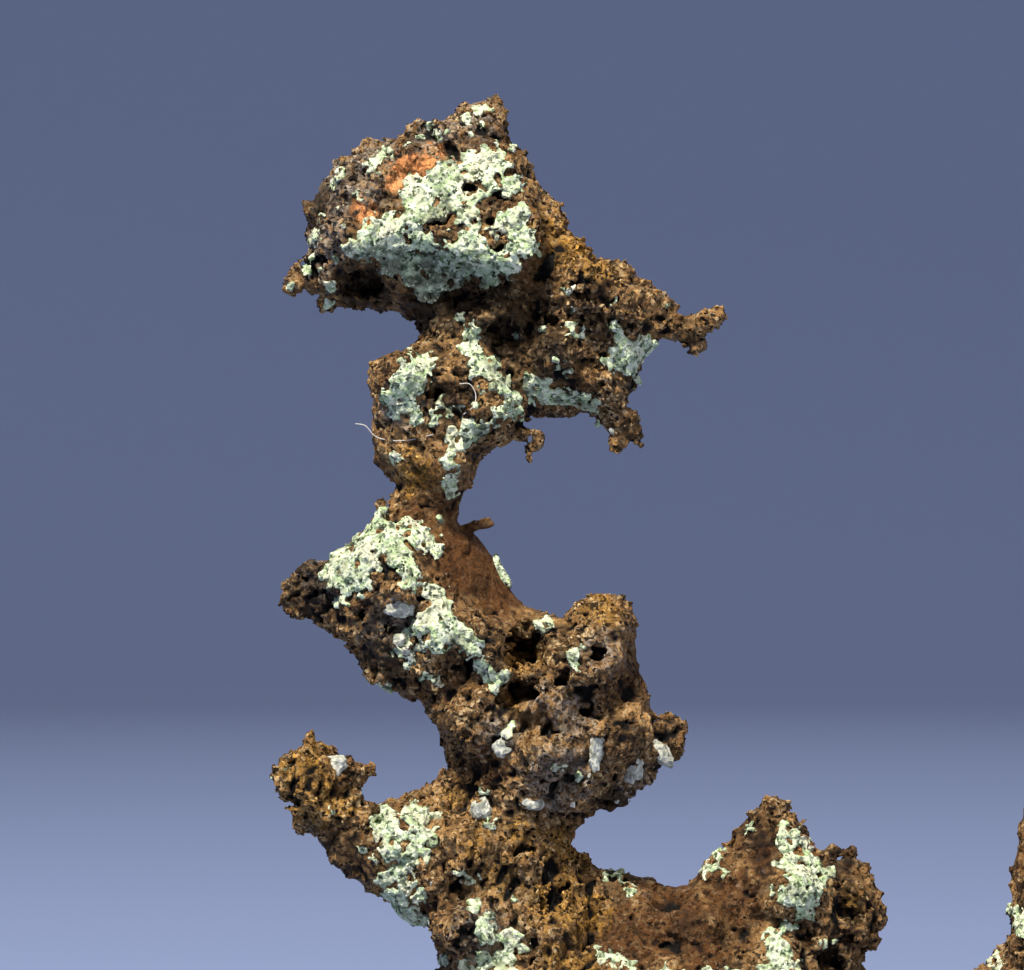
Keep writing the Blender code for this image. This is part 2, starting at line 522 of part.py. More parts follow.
def grow_copper(cutters):
    """The whole copper body as one rough skin."""
    grown = [limb_balls(limb) for limb in LIMBS]
    centres = np.vstack([centre for centre, _ in grown])
    radii = np.vstack([radius for _, radius in grown])
    copper = new_object("copper", balls_mesh("copper", centres, radii), cutters)
    add_remesh(copper, COPPER_VOXEL)
    add_rough(copper, "lumps", "CLOUDS", LUMP_SIZE, LUMP_HEIGHT)
    add_rough(copper, "nodules", "VORONOI", NODULE_SIZE, NODULE_HEIGHT)
    add_remesh(copper, COPPER_VOXEL)
    return bake(copper)


def make_cutter(name, mesh, cutters):
    """An object that only cuts."""
    cutter = new_object(name, mesh, cutters)
    cutter.display_type = "WIRE"
    cutter.hide_render = True
    return cutter


def pit_cutter(cutters):
    """All pits and cavities in one cutter."""
    centres = np.array([centre for centre, _ in PITS])
    radii = np.array([radius for _, radius in PITS])
    cutter = make_cutter("pits", balls_mesh("pits", centres, radii), cutters)
    add_remesh(cutter, CRUST_VOXEL)
    return bake(cutter)


def box_cutter(name, middle, size, turn, cutters):
    """A box cutter, turned about the depth axis."""
    box = bmesh.new()
    place = Matrix.Translation(Vector(middle) * MM) @ Matrix.Rotation(turn, 4, "Y")
    scale = Matrix.Diagonal((*[length * MM for length in size], 1.0))
    bmesh.ops.create_cube(box, size=1.0, matrix=place @ scale)
    mesh = bpy.data.meshes.new(name)
    box.to_mesh(mesh)
    box.free()
    return make_cutter(name, mesh, cutters)


def fork_cutter(number, start, end, cutters):
    """A thin slab between two points of the front view."""
    run = Vector((end[0] - start[0], 0.0, end[1] - start[1]))
    middle = ((start[0] + end[0]) / 2, 0.0, (start[1] + end[1]) / 2)
    turn = -math.atan2(run.z, run.x)
    return box_cutter(f"fork {number}", middle, (run.length, CUT_DEPTH, FORK_GAP), turn, cutters)


def shape_copper(cutters):
    """Rough body, pitted, thinned and cut flat where it rests."""
    copper = grow_copper(cutters)
    add_cut(copper, pit_cutter(cutters))
    add_remesh(copper, PIT_VOXEL)
    middle = (0.0, 0.0, -GROUND_BLOCK[2] / 2)
    ground = box_cutter("ground", middle, GROUND_BLOCK, 0.0, cutters)
    bake(copper)
    add_decimate(copper, COPPER_TRIANGLES)
    bake(copper)
    add_cut(copper, ground)
    return bake(copper)


def loose_parts(mesh):
    """The mesh's separate closed bodies, each as a bmesh."""
    whole = bmesh.new()
    whole.from_mesh(mesh)
    whole.verts.ensure_lookup_table()
    label = [-1] * len(whole.verts)
    count = 0
    for seed in whole.verts:
        if label[seed.index] >= 0:
            continue
        stack = [seed]
        label[seed.index] = count
        while stack:
            corner = stack.pop()
            for edge in corner.link_edges:
                other = edge.other_vert(corner)
                if label[other.index] < 0:
                    label[other.index] = count
                    stack.append(other)
        count += 1
    parts = []
    for number in range(count):
        part = whole.copy()
        part.verts.ensure_lookup_table()
        strangers = [corner for corner in part.verts if label[corner.index] != number]
        bmesh.ops.delete(part, geom=strangers, context="VERTS")
        parts.append(part)
    whole.free()
    return parts


def part_copper(copper, cutters, home, material):
    """Cut the copper at its forks and name each part by the point inside it."""
    for number, (start, end) in enumerate(FORKS):
        add_cut(copper, fork_cutter(number, start, end, cutters))
        bake(copper)
    parts = loose_parts(copper.data)
    trees = [BVHTree.FromBMesh(part) for part in parts]
    named = []
    for name, seed in COPPER_PARTS.items():
        gaps = [tree.find_nearest(Vector(seed) * MM)[3] for tree in trees]
        chosen = gaps.index(min(gaps))
        mesh = bpy.data.meshes.new(name)
        parts[chosen].to_mesh(mesh)
        mesh.materials.append(material)
        named.append(new_object(name, mesh, home))
    for part in parts:
        part.free()
    bpy.data.objects.remove(copper, do_unlink=True)
    return named


def front_tree(things):
    """A search tree over several objects' meshes."""
    joined = bmesh.new()
    for thing in things:
        joined.from_mesh(thing.data)
    tree = BVHTree.FromBMesh(joined)
    joined.free()
    return tree


def front_depth(tree, x, z):
    """How far back the front of the copper lies at (x, z), looking past a fork's gap."""
    depths = []
    for step_x, step_z in ((0, 0), (1, 0), (-1, 0), (0, 1), (0, -1)):
        start = Vector((x + step_x * FORK_GAP, FRONT_PLANE, z + step_z * FORK_GAP)) * MM
        point, _, _, _ = tree.ray_cast(start, Vector((0.0, 1.0, 0.0)))
        if point is not None:
            depths.append(point.y / MM)
    if not depths:
        point, _, _, _ = tree.find_nearest(Vector((x, 0.0, z)) * MM)
        depths.append(point.y / MM)
    return min(depths)


def swollen_copper(things, cutters):
    """The copper grown by the gap that crusts and grains keep to it."""
    joined = bmesh.new()
    for thing in things:
        joined.from_mesh(thing.data)
    mesh = bpy.data.meshes.new("swollen")
    joined.to_mesh(mesh)
    joined.free()
    swollen = make_cutter("swollen", mesh, cutters)
    swell = swollen.modifiers.new("swell", "DISPLACE")
    swell.strength = CRUST_GAP * MM
    swell.mid_level = 0.0
    add_remesh(swollen, CRUST_VOXEL)
    return bake(swollen)


def keep_largest(thing):
    """Drop every loose body but the largest."""
    parts = loose_parts(thing.data)
    volumes = [abs(part.calc_volume()) for part in parts]
    largest = parts[volumes.index(max(volumes))]
    largest.to_mesh(thing.data)
    for part in parts:
        part.free()


def make_crust(name, dabs, tree, swollen, home, material):
    """A crust patch: flat dabs on the copper, less the copper itself."""
    centres = []
    radii = []
    for x, z, radius in dabs:
        centres.append((x, front_depth(tree, x, z), z))
        radii.append((radius, CRUST_PROUD + CRUST_BULGE * radius, radius))
    mesh = balls_mesh(name, np.array(centres), np.array(radii))
    crust = new_object(name, mesh, home)
    add_remesh(crust, CRUST_VOXEL)
    bake(crust)
    add_cut(crust, swollen)
    add_remesh(crust, RIM_VOXEL)
    bake(crust)
    keep_largest(crust)
    area = sum(face.area for face in crust.data.polygons) / MM ** 2
    add_decimate(crust, int(CRUST_TRIANGLES_AT_LEAST + area * CRUST_TRIANGLES_PER_MM2))
    bake(crust)
    crust.data.materials.clear()
    crust.data.materials.append(material)
    return crust


def make_grain(name, middle, half, turn, tree, swollen, home, material):
    """A calcite grain: a rounded block with flat faces, less the copper."""
    depth = front_depth(tree, *middle) - GRAIN_PROUD
    ball = bmesh.new()
    bmesh.ops.create_icosphere(ball, subdivisions=1, radius=1.0)
    for corner in ball.verts:
        corner.co *= 1.0 + GRAIN_WOBBLE * math.sin(GRAIN_WAVE.dot(corner.co))
    place = Matrix.Translation(Vector((middle[0], depth, middle[1])) * MM)
    size = Matrix.Diagonal((half[0] * MM, GRAIN_HALF_DEPTH * MM, half[1] * MM, 1.0))
    spin = Matrix.Rotation(math.radians(turn), 4, "Y")
    bmesh.ops.transform(ball, matrix=place @ spin @ size, verts=ball.verts)
    mesh = bpy.data.meshes.new(name)
    ball.to_mesh(mesh)
    ball.free()
    grain = new_object(name, mesh, home)
    add_cut(grain, swollen)
    add_remesh(grain, GRAIN_VOXEL)
    bake(grain)
    keep_largest(grain)
    add_decimate(grain, GRAIN_TRIANGLES)
    bake(grain)
    grain.data.materials.clear()
    grain.data.materials.append(material)
    return grain


def build():
    """The whole nugget."""
    clear_scene()
    home = new_collection("native_copper_nugget")
    cutters = new_collection("cutters")
    copper_look = new_material("native_copper", COPPER_BROWN, 0.55, 0.6)
    malachite_look = new_material("malachite", MALACHITE_MINT, 0.85, 0.0)
    calcite_look = new_material("calcite", CALCITE_GREY, 0.35, 0.0)
    copper = shape_copper(cutters)
    parts = part_copper(copper, cutters, home, copper_look)
    tree = front_tree(parts)
    swollen = swollen_copper(parts, cutters)
    for name, dabs in CRUSTS.items():
        make_crust(name, dabs, tree, swollen, home, malachite_look)
    for name, (middle, half, turn) in GRAINS.items():
        make_grain(name, middle, half, turn, tree, swollen, home, calcite_look)
    for cutter in list(cutters.objects):
        bpy.data.objects.remove(cutter, do_unlink=True)


build()
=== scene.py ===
"""Native copper nugget: the finished surface of a branching lump of weathered copper.

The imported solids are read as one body, closed over at the forks, rounded, and given their
pits, hooks, crumbs and crevices on a fine lattice of distances, in millimetres. Malachite
crusts, calcite grains, loose crumbs and lint are laid on that surface. Every piece is a plain
closed mesh in metres.
"""

import math
from functools import partial

import bmesh
import bpy
import numpy as np
import openvdb
from mathutils import Matrix, Vector


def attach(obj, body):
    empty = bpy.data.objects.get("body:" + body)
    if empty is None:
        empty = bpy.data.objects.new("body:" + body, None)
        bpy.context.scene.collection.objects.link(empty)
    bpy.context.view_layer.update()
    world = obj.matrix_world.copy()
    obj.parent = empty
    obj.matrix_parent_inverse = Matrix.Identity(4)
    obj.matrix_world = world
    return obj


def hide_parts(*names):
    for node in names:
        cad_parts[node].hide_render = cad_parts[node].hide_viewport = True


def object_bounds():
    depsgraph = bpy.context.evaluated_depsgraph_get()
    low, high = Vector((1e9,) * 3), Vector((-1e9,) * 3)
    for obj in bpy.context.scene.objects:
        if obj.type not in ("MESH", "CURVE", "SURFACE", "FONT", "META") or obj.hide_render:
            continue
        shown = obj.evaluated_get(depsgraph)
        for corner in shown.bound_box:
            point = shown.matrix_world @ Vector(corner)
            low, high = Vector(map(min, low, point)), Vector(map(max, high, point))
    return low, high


bl_info = {
    "name": "Native Copper Nugget",
    "version": (1, 0, 0),
    "blender": (4, 5, 0),
    "location": "3D View > Sidebar > Nugget",
    "description": "Grows the crumbly copper, crusts and grains of a native copper nugget",
    "category": "Add Mesh",
}

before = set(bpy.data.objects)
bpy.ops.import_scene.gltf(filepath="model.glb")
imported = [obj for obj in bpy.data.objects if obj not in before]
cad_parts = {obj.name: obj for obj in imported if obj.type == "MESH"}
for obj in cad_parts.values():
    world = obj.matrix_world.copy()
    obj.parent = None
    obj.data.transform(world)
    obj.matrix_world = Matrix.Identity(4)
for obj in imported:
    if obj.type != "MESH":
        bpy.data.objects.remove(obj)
CAD_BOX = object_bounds()
MM = 0.001

# The copper's nodes and the distance between samples, in mm, that each is meshed at.
COPPER_NODES = {
    "base": 0.16, "stem": 0.12, "knob_branch": 0.12, "right_branch": 0.12, "outer_branch": 0.12,
    "trunk": 0.12, "left_point": 0.12, "neck": 0.12, "crown_branch": 0.12, "crown": 0.12,
}

# How far from a surface distances are kept, in mm.
BAND = 0.96

# Room round the solids for what grows out of them, in mm.
MARGIN = 1.3

# Widest gap that is closed over where the copper was parted at a fork, in mm.
CLOSED_OVER = 0.7

# Where the copper is calm and where it is wild: (x, z, radius) in mm.
CALM = [(-11.3, 29.6, 1.9), (-9.6, 28.7, 2.3), (-8.4, 27.4, 1.6)]
FINE = [
    (-2.4, 23.9, 1.5), (-2.4, 21.9, 0.9), (0.0, 11.0, 2.6), (3.6, 12.4, 2.4), (-2.5, 10.0, 2.2),
    (-12.5, 32.5, 1.8), (18.6, 14.0, 2.5), (-7.2, 21.2, 1.3),
]
WILD = [
    (-11.0, 49.8, 2.0), (-15.5, 47.8, 2.2), (-18.2, 44.2, 2.2), (-4.0, 42.2, 2.6), (-5.5, 39.0, 2.6),
    (-11.3, 37.3, 1.6), (-18.0, 27.6, 2.0), (-14.5, 24.0, 1.8), (-17.0, 15.5, 2.0), (-1.3, 17.6, 1.6),
    (-2.7, 20.6, 1.7), (-2.2, 18.6, 1.2), (8.4, 13.4, 0.9), (3.4, 15.4, 0.9),
]
STREAKED = [
    (-7.2, 20.9, 1.2), (-7.6, 13.2, 2.2), (-6.6, 10.6, 2.6), (-6.0, 8.6, 2.6), (-10.6, 14.6, 1.6),
    (-5.0, 12.0, 1.6),
]

# Hollows in the front: centre (x, z), half width, half height and depth, in mm.
HOLLOWS = [
    (-7.75, 24.6, 1.2, 1.3, 2.6), (-7.9, 22.4, 1.4, 0.68, 3.0), (-5.9, 23.05, 0.6, 0.5, 1.8),
    (-7.1, 20.8, 1.4, 0.7, 0.6), (8.5, 11.4, 0.75, 0.75, 0.5), (-10.7, 23.7, 0.55, 0.4, 1.1),
    (-4.1, 24.3, 0.45, 0.42, 0.8),
    (-6.6, 24.4, 0.3, 0.3, 0.7), (-5.8, 24.7, 0.3, 0.28, 0.6), (-4.9, 21.4, 0.3, 0.3, 0.7),
    (-6.0, 20.0, 0.28, 0.25, 0.6), (-9.5, 25.5, 0.35, 0.35, 0.7), (-5.6, 12.6, 0.25, 0.28, 0.7),
    (-7.5, 9.0, 0.3, 0.2, 0.8), (-7.7, 11.4, 0.16, 0.5, 0.8), (-7.4, 10.5, 0.14, 0.45, 0.8),
    (7.7, 8.9, 1.1, 0.5, 1.6), (-15.6, 42.6, 1.3, 0.75, 1.7), (-12.0, 42.0, 1.5, 0.4, 1.0),
    (-8.8, 40.2, 1.0, 0.7, 1.2), (-10.1, 41.8, 0.7, 0.5, 0.9), (-6.3, 40.8, 0.5, 0.45, 0.8),
    (-12.3, 37.1, 0.5, 0.4, 0.8), (-5.2, 42.0, 0.4, 0.35, 0.7), (-1.2, 40.9, 0.35, 0.2, 0.5),
    (-17.9, 27.4, 0.3, 0.25, 0.6), (-18.6, 27.9, 0.22, 0.2, 0.5), (-17.3, 26.7, 0.25, 0.2, 0.5),
    (-15.9, 26.2, 0.35, 0.3, 0.7), (-12.7, 26.9, 0.3, 0.25, 0.5), (-11.7, 46.9, 0.35, 0.3, 0.6),
    (-10.7, 47.3, 0.4, 0.3, 0.7), (-8.8, 46.5, 0.45, 0.25, 0.6), (-9.7, 45.6, 0.5, 0.25, 0.6),
    (-11.9, 45.5, 0.75, 0.4, 0.7), (-9.0, 44.2, 0.35, 0.35, 0.6), (8.3, 10.1, 0.4, 0.25, 0.5),
]

# Ring-shaped rims standing on the front: centre (x, z), radius and height, in mm.
RIMS = [
    (-9.5, 25.5, 0.55, 0.22), (-10.85, 10.8, 0.75, 0.2), (8.5, 11.5, 1.0, 0.2), (-4.1, 24.3, 0.7, 0.15),
]

# Hooks, fingers, spikes and a ledge: chains of balls (x, off, z, radius) in mm, where off is how
# far in front of the limb's middle the ball lies, from the chain's first ball on.
SPURS = [
    [(-8.7, 0.0, 35.9, 0.4), (-7.8, 0.0, 35.5, 0.25), (-7.15, 0.1, 35.1, 0.2), (-7.05, 0.1, 34.6, 0.16),
     (-7.4, 0.1, 34.3, 0.15), (-7.75, 0.1, 34.3, 0.12)],
    [(-2.9, 0.0, 36.2, 0.3), (-3.05, 0.0, 34.7, 0.22)],
    [(-2.3, 0.0, 36.0, 0.28), (-2.1, 0.0, 34.75, 0.2)],
    [(-4.0, 0.0, 36.1, 0.25), (-4.25, 0.0, 35.5, 0.15)],
    [(0.2, 0.0, 40.1, 0.3), (0.3, 0.0, 39.75, 0.32), (0.9, 0.0, 39.7, 0.3), (1.0, 0.0, 40.1, 0.25)],
    [(-0.2, 0.0, 41.4, 0.2), (0.5, 0.0, 41.75, 0.08)],
    [(-16.6, 0.0, 17.9, 0.35), (-16.1, 0.0, 18.3, 0.25), (-15.5, 0.0, 18.6, 0.18), (-15.15, 0.0, 18.6, 0.14),
     (-15.2, 0.0, 18.2, 0.11)],
    [(-18.4, 0.0, 19.3, 0.3), (-18.35, 0.0, 20.0, 0.15)],
    [(-19.6, 0.0, 17.6, 0.3), (-20.2, 0.0, 18.2, 0.12)],
    [(3.9, 0.0, 14.8, 0.35), (3.2, 0.0, 15.0, 0.25), (2.8, 0.0, 15.4, 0.18), (2.75, 0.0, 15.85, 0.13)],
    [(7.0, 0.0, 13.4, 0.35), (7.6, 0.0, 14.1, 0.28), (8.4, 0.0, 14.2, 0.18)],
    [(-3.7, 0.9, 25.9, 0.4), (-3.1, 0.9, 27.0, 0.12)],
    [(-15.0, 0.6, 30.9, 0.3), (-14.8, 0.6, 32.1, 0.1)],
    [(-17.5, 0.0, 41.9, 0.3), (-17.6, 0.0, 41.4, 0.18)],
    [(-19.0, 0.0, 43.1, 0.35), (-19.6, 0.0, 42.5, 0.2)],
    [(-10.7, 0.0, 50.5, 0.3), (-9.9, 0.0, 51.3, 0.26), (-9.2, 0.0, 51.6, 0.24)],
    [(-8.9, 0.0, 49.5, 0.25), (-8.3, 0.0, 49.0, 0.2)],
    [(-11.1, 0.2, 30.3, 0.26), (-10.3, 0.3, 30.55, 0.16), (-9.4, 0.3, 30.6, 0.12)],
    [(-1.5, 0.0, 18.9, 0.3), (-0.7, 0.0, 19.8, 0.22), (-0.3, 0.0, 19.3, 0.15)],
    [(-4.4, 0.0, 17.0, 0.3), (-3.5, 0.0, 16.6, 0.24), (-2.6, 0.0, 16.9, 0.2)],
    [(1.5, 0.0, 40.8, 0.38), (1.9, 0.0, 40.3, 0.25)],
]

# Colour zones over the copper: (x, z, radius) in mm.
GOLDEN = [
    (-18.6, 17.6, 1.7), (-17.1, 16.8, 0.9), (-18.4, 19.4, 0.9), (-7.9, 24.3, 1.0), (-4.0, 26.4, 0.9),
    (-5.6, 44.7, 1.3), (-4.4, 43.4, 0.9), (-6.6, 45.6, 0.6), (-8.5, 21.6, 0.5), (-6.3, 12.2, 1.4),
    (-5.6, 14.5, 1.2), (-8.8, 13.2, 0.8), (-11.0, 17.2, 0.7), (-5.9, 9.2, 1.0), (-4.7, 11.4, 1.1),
    (-5.2, 8.8, 1.0), (-8.0, 15.2, 0.9), (-10.4, 14.6, 0.6), (-13.2, 33.0, 0.9), (-10.0, 15.3, 0.6),
    (-8.6, 29.6, 0.4), (-13.4, 33.8, 0.7), (8.5, 11.7, 0.7), (14.0, 3.0, 1.5),
]
RUSTY = [
    (-0.5, 11.2, 2.2), (2.4, 12.2, 1.8), (-2.8, 10.2, 1.8), (4.2, 14.4, 1.5), (-4.6, 10.6, 1.2),
    (8.4, 12.0, 0.8), (-5.0, 8.6, 0.8), (-12.6, 33.2, 0.9), (-10.6, 29.0, 2.2), (-8.8, 27.6, 1.8),
    (8.3, 10.3, 0.5), (6.4, 14.2, 0.8), (-7.0, 44.0, 1.2), (-5.0, 44.9, 1.0), (18.6, 13.6, 2.0),
    (1.0, 9.6, 1.6), (-13.2, 31.3, 1.0), (-11.8, 31.6, 1.2), (-2.4, 23.2, 1.0), (-9.4, 18.4, 1.0),
    (-8.3, 49.6, 0.6),
]
# Dark oxide, and painted shade: the zones under the crown, in the hollows and on the bowl's upper side stand
# in for shade.
DARK_AND_SHADED = [
    (-8.6, 40.6, 1.9), (-6.6, 39.4, 1.5), (-15.7, 42.4, 1.5), (-11.6, 36.5, 1.3), (-18.2, 27.4, 1.6),
    (-16.7, 14.4, 1.2), (-3.3, 16.8, 1.0), (8.0, 13.8, 0.8), (0.6, 39.7, 0.7), (7.6, 8.8, 1.1),
    (-14.6, 24.3, 1.4), (-12.2, 41.7, 1.8), (-10.8, 41.6, 1.4), (-3.2, 15.4, 0.6), (-12.8, 29.0, 0.5),
    (-2.3, 38.0, 0.5), (3.0, 15.6, 0.6), (-17.8, 47.0, 1.0), (-15.4, 26.2, 1.0), (-9.3, 42.3, 1.2),
    (-2.6, 34.9, 0.6), (-7.4, 34.7, 0.6), (-16.0, 45.0, 0.6), (-0.6, 18.6, 0.8),
    (-7.3, 24.9, 0.7), (-2.2, 20.0, 0.5), (-3.4, 21.3, 0.4), (4.0, 15.0, 0.9), (8.6, 11.2, 0.8),
    (4.4, 13.6, 0.5), (8.2, 12.6, 0.6),
]
BARE = [
    (-13.5, 48.1, 0.8), (-12.6, 48.4, 0.6), (-14.2, 47.5, 0.5), (-15.6, 45.8, 0.55), (-16.0, 46.3, 0.35),
    (6.4, 14.3, 0.35), (6.6, 13.7, 0.25), (-12.0, 49.3, 0.3),
]

# Crust patches: dabs (x, z, radius) in mm on the front of the copper.
CRUSTS = {
    "crown_crust": [
        (-13.0, 46.9, 1.0), (-12.0, 47.4, 0.9), (-11.0, 46.7, 0.9), (-11.6, 48.0, 0.7), (-12.4, 46.2, 0.8),
        (-10.3, 48.5, 0.7), (-9.5, 49.1, 0.5), (-9.6, 47.9, 0.8), (-8.5, 47.4, 0.6), (-9.0, 48.6, 0.5),
        (-10.6, 45.9, 0.6), (-8.4, 45.6, 0.8), (-7.9, 44.6, 0.8), (-8.6, 43.5, 0.65), (-8.0, 46.0, 0.5),
        (-10.0, 43.6, 0.8), (-11.2, 43.4, 0.9), (-12.3, 43.6, 0.8), (-13.6, 43.8, 0.8), (-14.4, 44.4, 0.8),
        (-15.4, 44.6, 0.8), (-16.2, 44.2, 0.5), (-14.2, 45.5, 0.7), (-15.3, 45.3, 0.5), (-13.2, 45.6, 0.6),
        (-11.0, 44.6, 0.7), (-12.0, 42.7, 0.6), (-13.2, 42.9, 0.6), (-12.9, 44.6, 0.6), (-10.2, 44.8, 0.5),
        (-9.6, 42.9, 0.5), (-14.4, 43.6, 0.6), (-12.6, 42.2, 0.5), (-9.4, 45.2, 0.4), (-9.9, 47.0, 0.35),
    ],
    "branch_lump_crust": [
        (-3.6, 38.6, 0.4), (-3.0, 38.9, 0.65), (-2.3, 39.3, 0.6), (-1.6, 39.6, 0.45), (-2.9, 39.8, 0.4),
        (-3.3, 40.4, 0.25), (-2.6, 38.5, 0.45), (-1.3, 39.3, 0.3),
    ],
    "branch_hem_crust": [
        (-7.4, 37.6, 0.5), (-6.8, 37.3, 0.55), (-6.1, 37.0, 0.5), (-5.5, 36.9, 0.4), (-4.9, 36.9, 0.45),
        (-4.3, 36.5, 0.35), (-7.1, 36.9, 0.3),
    ],
    "neck_left_crust": [
        (-13.4, 38.2, 0.65), (-12.7, 38.6, 0.5), (-13.5, 37.3, 0.65), (-14.5, 36.9, 0.45), (-13.5, 36.4, 0.6),
        (-13.0, 37.7, 0.45), (-14.0, 37.6, 0.45), (-13.2, 35.9, 0.4), (-14.2, 36.3, 0.4),
    ],
    "neck_stripe_crust": [
        (-10.5, 40.1, 0.45), (-10.6, 39.4, 0.5), (-10.0, 38.9, 0.6), (-9.5, 38.2, 0.6), (-8.9, 37.6, 0.5),
        (-8.4, 36.9, 0.45), (-8.3, 36.3, 0.4), (-9.0, 36.2, 0.35), (-10.1, 38.2, 0.35),
    ],
    "neck_drip_crust": [
        (-12.2, 35.8, 0.35), (-11.4, 35.1, 0.45), (-10.5, 35.2, 0.65), (-11.3, 34.4, 0.4), (-11.5, 33.6, 0.38),
        (-11.5, 32.9, 0.36), (-11.45, 32.3, 0.35), (-9.9, 35.4, 0.4), (-10.9, 34.7, 0.35),
    ],
    "point_crust": [
        (-14.9, 30.8, 0.4), (-15.5, 29.8, 0.75), (-14.4, 29.9, 0.7), (-16.8, 29.0, 0.6), (-17.3, 28.1, 0.6),
        (-16.6, 27.8, 0.7), (-15.6, 28.9, 0.7), (-14.0, 29.2, 0.6), (-13.4, 28.4, 0.6), (-12.9, 30.0, 0.6),
        (-12.3, 29.4, 0.45), (-13.4, 27.7, 0.45), (-12.3, 27.3, 0.5), (-12.0, 26.4, 0.65), (-11.6, 25.5, 0.75),
        (-12.1, 24.8, 0.5), (-10.9, 25.3, 0.6), (-10.4, 24.6, 0.5), (-9.9, 23.8, 0.4), (-9.5, 23.1, 0.35),
        (-13.0, 25.6, 0.4), (-13.7, 25.0, 0.4), (-15.7, 27.9, 0.5), (-13.6, 30.6, 0.4), (-12.6, 26.0, 0.45),
    ],
    "knob_arm_crust": [
        (-14.5, 16.2, 0.5), (-13.4, 16.3, 0.5), (-12.7, 16.2, 0.35), (-14.4, 15.3, 0.7), (-13.3, 15.5, 0.6),
        (-14.4, 14.5, 0.6), (-14.0, 13.5, 0.6), (-13.6, 12.7, 0.55), (-14.0, 11.9, 0.45), (-13.4, 11.2, 0.5),
        (-12.9, 10.7, 0.35), (-12.6, 14.4, 0.4), (-12.6, 15.4, 0.4), (-14.9, 15.8, 0.5), (-13.1, 14.7, 0.5),
        (-13.6, 13.9, 0.6), (-14.6, 13.1, 0.5), (-13.0, 12.3, 0.4), (-14.3, 12.3, 0.5), (-13.9, 11.3, 0.5),
    ],
    "stem_crust": [
        (-10.2, 11.9, 0.35), (-9.6, 11.1, 0.45), (-9.6, 10.4, 0.5), (-8.4, 10.3, 0.5), (-8.8, 9.3, 0.6),
        (-9.8, 9.1, 0.55), (-7.9, 9.8, 0.3), (-10.5, 8.6, 0.5), (-8.7, 8.5, 0.55), (-9.2, 10.0, 0.4),
    ],
    "right_peak_crust": [
        (5.1, 15.5, 0.25), (5.6, 15.1, 0.35), (6.2, 14.5, 0.35), (6.7, 13.7, 0.35), (5.2, 14.7, 0.4),
        (5.3, 13.9, 0.5), (5.9, 13.2, 0.7), (5.1, 12.4, 0.45), (6.0, 12.2, 0.7), (6.5, 12.8, 0.45),
        (5.9, 11.5, 0.4), (6.3, 13.9, 0.35),
    ],
    "right_low_crust": [
        (5.2, 10.6, 0.4), (4.5, 10.2, 0.45), (4.8, 9.5, 0.7), (4.4, 8.5, 0.7), (3.5, 8.0, 0.5),
        (2.4, 8.2, 0.6), (1.2, 8.3, 0.6), (0.2, 8.3, 0.45), (5.4, 8.9, 0.4),
    ],
    "outer_crust": [
        (17.2, 10.6, 0.6), (17.9, 10.3, 0.7), (17.5, 11.2, 0.4), (18.3, 11.0, 0.5),
    ],
}

